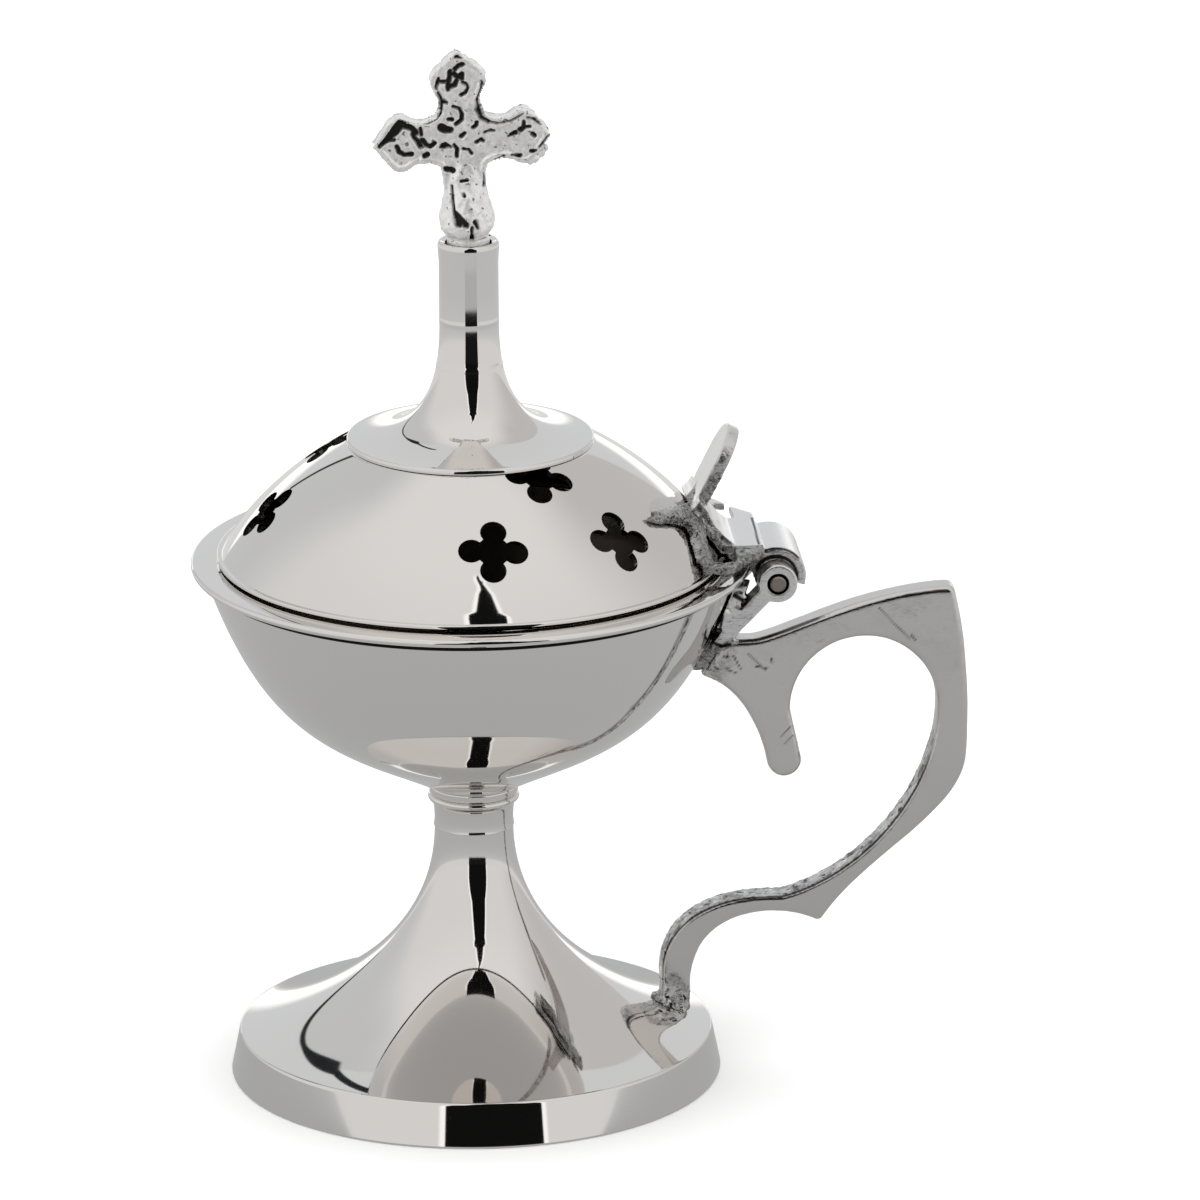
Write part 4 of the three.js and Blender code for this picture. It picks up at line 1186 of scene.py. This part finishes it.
bump_depth = 0.0002  # metres
silver = (0.80, 0.775, 0.75, 1)
inside_dark = (0.19, 0.16, 0.135, 1)
crease_shade = (0.012, 0.011, 0.01, 1)
shade_and_mark_dark = (0.02, 0.019, 0.018, 1)


def grey(value):
    """A grey as a colour."""
    return (value, value, value, 1)


class Wires:
    """Short hand for making and joining shader nodes in one tree."""

    def __init__(self, tree):
        self.tree = tree
        self.count = 0

    def node(self, kind, **values):
        made = self.tree.nodes.new(kind)
        made.location = (-700 + 180 * (self.count % 8), -220 * (self.count // 8))
        self.count += 1
        for key, value in values.items():
            setattr(made, key, value)
        return made

    def put(self, value, socket):
        if isinstance(value, bpy.types.NodeSocket):
            self.tree.links.new(value, socket)
        else:
            socket.default_value = value

    def math(self, operation, a, b=0.0):
        made = self.node("ShaderNodeMath", operation=operation)
        for value, socket in zip((a, b), made.inputs):
            self.put(value, socket)
        return made.outputs[0]

    def times(self, first, *others):
        product = first
        for value in others:
            product = self.math("MULTIPLY", product, value)
        return product

    def ramp(self, value, low, high, to_low=0.0, to_high=1.0, smooth=True):
        made = self.node("ShaderNodeMapRange", interpolation_type="SMOOTHSTEP" if smooth else "LINEAR")
        for item, socket in zip((value, low, high, to_low, to_high), made.inputs):
            self.put(item, socket)
        return made.outputs[0]

    def mix(self, factor, a, b):
        made = self.node("ShaderNodeMix", data_type="RGBA")
        self.put(factor, made.inputs["Factor"])
        self.put(a, made.inputs[6])
        self.put(b, made.inputs[7])
        return made.outputs[2]

    def noise(self, vector, scale, detail=2.0, roughness=0.5, distortion=0.0):
        made = self.node("ShaderNodeTexNoise")
        self.put(vector, made.inputs["Vector"])
        for label, value in (("Scale", scale), ("Detail", detail), ("Roughness", roughness),
                             ("Distortion", distortion)):
            self.put(value, made.inputs[label])
        return made.outputs["Fac"]

    def stretch(self, vector, scale):
        made = self.node("ShaderNodeMapping")
        self.put(vector, made.inputs["Vector"])
        self.put(scale, made.inputs["Scale"])
        return made.outputs[0]

    def from_camera(self, direction):
        """The parts of a direction once it is turned so that the camera stands at -Y."""
        turned = self.node("ShaderNodeVectorRotate", rotation_type="Z_AXIS")
        self.put(direction, turned.inputs["Vector"])
        turned.inputs["Angle"].default_value = -camera_azimuth
        parts = self.node("ShaderNodeSeparateXYZ")
        self.put(turned.outputs[0], parts.inputs[0])
        return parts.outputs

    def place(self):
        return self.node("ShaderNodeTexCoord").outputs["Object"]

    def painted(self, label):
        return self.node("ShaderNodeAttribute", attribute_name=label).outputs["Fac"]

    def dent(self, shader, strength, height):
        bump = self.node("ShaderNodeBump")
        self.put(strength, bump.inputs["Strength"])
        self.put(bump_depth, bump.inputs["Distance"])
        self.put(height, bump.inputs["Height"])
        self.put(bump.outputs[0], shader.inputs["Normal"])


# Half width of the tent's opening against height, both divided by the distance ahead
slot_sides = (
    (-0.5, 0.45), (0.0, 0.43), (0.15, 0.42), (0.3, 0.36), (0.45, 0.27), (0.75, 0.22), (1.09, 0.175),
    (1.2, 0.197), (1.28, 0.197), (1.33, 0.12), (1.6, 0.09), (1.72, 0.078), (1.85, 0.044), (2.0, 0.03),
    (2.3, 0.02), (2.4, 0.0))


def tent_slot_group():
    """Dark opening of the light tent, as seen from the object: tall, narrowing like a bottle."""
    group = node_group("tent_slot", [
        ("Direction", "NodeSocketVector", None),
        ("Heading", "NodeSocketFloat", 0.165),
        ("Border", "NodeSocketFloat", 0.05),
    ], [("Opening", "NodeSocketFloat"), ("Edge", "NodeSocketFloat")])
    w = Wires(group)
    given = group.nodes["Group Input"].outputs
    parts = w.from_camera(given["Direction"])
    ahead = w.math("MAXIMUM", w.times(parts["Y"], -1.0), 0.02)
    height = w.math("DIVIDE", parts["Z"], ahead)
    lean = w.ramp(height, 1.8, 2.3, 0.0, 0.07)
    middle = w.math("SUBTRACT", given["Heading"], lean)
    aside = w.math("ABSOLUTE", w.math("SUBTRACT", w.math("DIVIDE", parts["X"], ahead), middle))
    sides = w.node("ShaderNodeFloatCurve")
    low, high = slot_sides[0][0], slot_sides[-1][0]
    points = sides.mapping.curves[0].points
    for place, half in slot_sides[1:-1]:
        points.new((place - low) / (high - low), half)
    for point, (_, half) in zip((points[0], points[-1]), (slot_sides[0], slot_sides[-1])):
        point.location = (point.location[0], half)
    for point in points:
        point.handle_type = "VECTOR"
    sides.mapping.update()
    w.put(w.ramp(height, low, high, 0.0, 1.0, False), sides.inputs["Value"])
    front = w.ramp(parts["Y"], -0.06, -0.03, 1.0, 0.0)
    over = w.math("SUBTRACT", aside, sides.outputs[0])
    under_top = w.math("LESS_THAN", height, high)
    opening = w.times(w.ramp(over, -0.008, 0.008, 1.0, 0.0), front, under_top)
    border = w.ramp(w.math("SUBTRACT", over, given["Border"]), -0.02, 0.02, 1.0, 0.0)
    out = group.nodes["Group Output"].inputs
    w.put(opening, out["Opening"])
    w.put(w.times(border, front, w.ramp(height, 2.2, 2.5, 1.0, 0.0)), out["Edge"])
    return group


def hollows_group():
    """Shallow hammered hollows and pits of a casting."""
    group = node_group("cast_hollows", [
        ("Vector", "NodeSocketVector", None),
        ("Grain", "NodeSocketFloat", 700.0),
    ], [("Height", "NodeSocketFloat"), ("Pits", "NodeSocketFloat")])
    w = Wires(group)
    given = group.nodes["Group Input"].outputs
    wide = w.noise(given["Vector"], given["Grain"], 3.0, 0.6, 0.4)
    fine = w.noise(given["Vector"], w.times(given["Grain"], 5.0), 2.0, 0.6)
    pits = w.ramp(w.noise(given["Vector"], w.times(given["Grain"], 1.7), 1.0, 0.5), 0.66, 0.74)
    height = w.math("ADD", wide, w.times(fine, 0.25))
    out = group.nodes["Group Output"].inputs
    w.put(w.math("SUBTRACT", height, w.times(pits, 0.6)), out["Height"])
    w.put(pits, out["Pits"])
    return group


def wear_group():
    """Handling marks of polished plate: faint smears and hairlines."""
    group = node_group("handling_marks", [
        ("Vector", "NodeSocketVector", None),
        ("Smear size", "NodeSocketFloat", 60.0),
    ], [("Smears", "NodeSocketFloat"), ("Hairlines", "NodeSocketFloat")])
    w = Wires(group)
    given = group.nodes["Group Input"].outputs
    smears = w.ramp(w.noise(given["Vector"], given["Smear size"], 4.0, 0.6, 1.2), 0.42, 0.72)
    lines = w.noise(w.stretch(given["Vector"], (1.0, 1.0, 14.0)), 900.0, 2.0, 0.7)
    out = group.nodes["Group Output"].inputs
    w.put(smears, out["Smears"])
    w.put(w.ramp(lines, 0.55, 0.75), out["Hairlines"])
    return group


hollows = hollows_group()
wear = wear_group()
slot_shape = tent_slot_group()


def use(w, group, **inputs):
    """Put a shared effect in a tree; an underscore in an input's name stands for its space."""
    made = w.node("ShaderNodeGroup", node_tree=group)
    for label, value in inputs.items():
        w.put(value, made.inputs[label.replace("_", " ")])
    return made.outputs


def material(name):
    """New material with its wires and its surface shader."""
    made = bpy.data.materials.new(name)
    made.use_nodes = True
    w = Wires(made.node_tree)
    return made, w, made.node_tree.nodes["Principled BSDF"]


def polished_plate():
    """Mirror-polished plate with faint smears, darker and duller where the inside is painted, near black
    with painted shade in the crease under the rim.
    """
    made, w, shader = material("polished_plate")
    place = w.place()
    marks = use(w, wear, Vector=place)
    rough = w.math("ADD", w.ramp(marks["Smears"], 0.0, 1.0, 0.03, 0.055, False),
                   w.times(marks["Hairlines"], 0.012))
    inside = w.painted("inside")
    w.put(w.math("ADD", rough, w.times(inside, 0.3)), shader.inputs["Roughness"])
    # a dark brown tone where the inside is painted
    tone = w.mix(inside, silver, inside_dark)
    # painted shade: near black where the crease under the rim is painted
    w.put(w.mix(w.painted("crease"), tone, crease_shade), shader.inputs["Base Color"])
    w.put(1.0, shader.inputs["Metallic"])
    w.dent(shader, 0.05, w.noise(place, 70.0, 1.0, 0.4))
    return made


def cast_plate(name, grain, dent, worn_look, rough_look, hollow_shade, metal=1.0):
    """Plated casting: bright where it is worn smooth, dark and dented elsewhere, darker in the hollows of
    the dents as painted shade, near black in pits, in sunk lines and in the other painted recess lines,
    which are mostly painted shade and painted dark reflection besides real nicks and a parting line.

    A look is a base colour and a roughness; hollow_shade is what is left of the rough tone in its hollows,
    as painted shade.
    """
    made, w, shader = material(name)
    place = w.place()
    dents = use(w, hollows, Vector=place, Grain=grain)
    marks = use(w, wear, Vector=place, Smear_size=90.0)
    worn = w.painted("worn")
    # painted shade: the rough tone darkens in the hollows of the dents
    shade = w.ramp(dents["Height"], 0.35, 0.75)
    rough_tone = w.mix(shade, tuple(hollow_shade * c for c in rough_look[0][:3]) + (1,), rough_look[0])
    tone = w.mix(worn, rough_tone, worn_look[0])
    # painted shade and painted dark reflection: pits on rough parts and the painted recess lines go near
    # black; the recess lines also hold real nicks and a parting line
    pits = w.times(dents["Pits"], w.math("SUBTRACT", 0.75, w.times(worn, 0.75)))
    dark = w.math("MAXIMUM", w.painted("recess"), pits)
    w.put(w.mix(dark, tone, shade_and_mark_dark), shader.inputs["Base Color"])
    gloss = w.ramp(worn, 0.0, 1.0, rough_look[1], worn_look[1], False)
    w.put(w.math("ADD", gloss, w.times(marks["Smears"], 0.05)), shader.inputs["Roughness"])
    w.put(metal, shader.inputs["Metallic"])
    w.dent(shader, w.ramp(worn, 0.0, 1.0, dent, dent * 0.12, False),
           w.math("SUBTRACT", dents["Height"], w.times(marks["Hairlines"], 0.5)))
    return made


def turned_plate(name="turned_plate", tone=(0.66, 0.645, 0.63, 1), dull=0.2):
    """Turned metal with hairlines, duller than the polished plate."""
    made, w, shader = material(name)
    marks = use(w, wear, Vector=w.place())
    w.put(w.math("ADD", dull, w.times(marks["Hairlines"], 0.1)), shader.inputs["Roughness"])
    w.put(tone, shader.inputs["Base Color"])
    w.put(1.0, shader.inputs["Metallic"])
    return made


finishes = {
    "polished_plate": polished_plate(),
    "handle": cast_plate("cast_plate_handle", 500.0, 0.6, ((0.68, 0.65, 0.63, 1), 0.16),
                         ((0.66, 0.65, 0.64, 1), 0.2), 0.1),
    "cross": cast_plate("cast_plate_cross", 900.0, 0.3, ((0.90, 0.89, 0.88, 1), 0.4),
                        ((0.97, 0.96, 0.95, 1), 0.42), 0.8, 0.82),
    "cast_plate": cast_plate("cast_plate_bracket", 1000.0, 1.0, ((0.80, 0.79, 0.78, 1), 0.2),
                             ((0.46, 0.45, 0.44, 1), 0.2), 0.15),
    "turned_plate": turned_plate(),
    "pin": turned_plate("pin_end", (0.36, 0.32, 0.29, 1), 0.42),
}


# Seam of the tent: degrees left of straight ahead, and the slope and height of the fold at its top
seam_side = 155.0
fold_side = 159.5
fold_slope = -0.6
fold_lift = 45.5
seam_dark = (0.02, 0.022, 0.024, 1)
cloth_low, cloth_high = (0.79, 0.785, 0.78, 1), (0.85, 0.845, 0.84, 1)


def tent_light():
    """The white light tent: opening towards the camera, seam behind on the left, bright sweep behind."""
    world = bpy.data.worlds.new("light_tent")
    bpy.context.scene.world = world
    world.use_nodes = True
    w = Wires(world.node_tree)
    heading = w.node("ShaderNodeTexCoord").outputs["Generated"]
    parts = w.from_camera(heading)
    side = w.math("DEGREES", w.math("ARCTAN2", parts["X"], w.times(parts["Y"], -1.0)))
    lift = w.math("DEGREES", w.math("ARCSINE", parts["Z"]))
    slot_seen = use(w, slot_shape, Direction=heading)
    behind = w.ramp(w.math("ABSOLUTE", side), 154.4, 155.2)
    wall = w.mix(w.ramp(lift, 28.0, 70.0), cloth_low, cloth_high)
    # cloths hung over the wall: where they hang to the side, where in height, and their colour
    for across, low, high, tone in (
            (w.ramp(side, -100.0, -140.0), 70.0, 50.0, (0.63, 0.645, 0.66, 1)),
            (w.ramp(side, 60.0, 130.0), 75.0, 50.0, (0.60, 0.595, 0.59, 1)),
            (behind, 70.0, 55.0, (0.71, 0.73, 0.75, 1)),
            (behind, 11.0, 6.0, grey(1.25))):
        wall = w.mix(w.times(across, w.ramp(lift, low, high)), wall, tone)
    # the seam opens into a fold at its top
    from_seam = w.math("ADD", side, seam_side)
    breadth = w.ramp(lift, 34.0, 46.0, 0.6, 2.6)
    seam = w.ramp(w.math("SUBTRACT", w.math("ABSOLUTE", from_seam), breadth), -0.3, 0.3, 1.0, 0.0)
    seam = w.times(seam, w.ramp(lift, 46.5, 47.5, 1.0, 0.0), w.ramp(lift, 3.0, 6.0))
    fold_line = w.math("ADD", w.times(from_seam, fold_slope), fold_lift)
    fold = w.ramp(w.math("ABSOLUTE", w.math("SUBTRACT", lift, fold_line)), 1.1, 1.6, 1.0, 0.0)
    from_fold = w.math("ABSOLUTE", w.math("ADD", side, fold_side))
    fold = w.times(fold, w.ramp(from_fold, 5.0, 5.5, 1.0, 0.0))
    wall = w.mix(w.math("MAXIMUM", seam, fold), wall, seam_dark)
    wall = w.mix(slot_seen["Edge"], wall, grey(1.15))
    wall = w.mix(slot_seen["Opening"], wall, grey(0.006))
    rays = w.node("ShaderNodeLightPath").outputs
    seen = w.mix(rays["Is Camera Ray"], wall, grey(1.0))
    lit = w.mix(rays["Is Diffuse Ray"], seen, grey(1.5))
    w.put(lit, world.node_tree.nodes["Background"].inputs["Color"])


def studio_floor():
    """White floor; mirrored in the plate it glows greyer near the object as a painted shadow, and dark in
    front of the opening.
    """
    bpy.ops.object.select_all(action="DESELECT")
    bpy.ops.mesh.primitive_plane_add(size=8, location=(0, 0, 0))
    floor = bpy.context.object
    floor.name = "studio_floor"
    floor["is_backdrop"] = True
    made, w, shader = material("pale_floor")
    place = w.place()
    rays = w.node("ShaderNodeLightPath").outputs
    slot_seen = use(w, slot_shape, Direction=place)
    away = w.node("ShaderNodeVectorMath", operation="LENGTH")
    w.put(place, away.inputs[0])
    far = away.outputs["Value"]
    # painted shadow, seen only in reflections: the glowing floor is greyer near the object, with a darker
    # painted shadow band in front of the opening
    pale = w.mix(w.ramp(far, 0.05, 0.36, smooth=False), (0.46, 0.47, 0.475, 1), (0.6, 0.605, 0.61, 1))
    pale = w.mix(w.ramp(far, 0.38, 0.5, smooth=False), pale, grey(0.77))
    pale = w.mix(w.times(slot_seen["Opening"], w.ramp(far, 0.33, 0.35, 0.0, 0.25)), pale, grey(0.2))
    seen = w.mix(w.times(slot_seen["Opening"], w.ramp(far, 0.392, 0.402)), pale, grey(0.01))
    w.put(w.mix(rays["Is Glossy Ray"], grey(0.93), grey(0)), shader.inputs["Base Color"])
    w.put(w.mix(rays["Is Glossy Ray"], grey(0), seen), shader.inputs["Emission Color"])
    w.put(1.0, shader.inputs["Emission Strength"])
    w.put(1.0, shader.inputs["Roughness"])
    w.put(0.0, shader.inputs["Specular IOR Level"])
    floor.data.materials.append(made)


def dress():
    """Give every shown piece its finish by its slot; castings each have their own."""
    own = {"handle_casting": "handle", "cross_casting": "cross", "cross_plug": "cross", "turned_pin": "pin"}
    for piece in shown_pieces():
        finish = own.get(piece.name) or slots.get(piece.name, "cast_plate")
        piece.data.materials.clear()
        piece.data.materials.append(finishes[finish])


make_camera()
tent_light()
studio_floor()
make_foot()
make_collar()
make_bowl()
make_lid()
make_spire()
make_handle()
make_lid_bracket()
make_bowl_bracket()
make_pin()
make_cross()
make_turned_parts()
dress()
bpy.context.scene.view_settings.view_transform = "Standard"
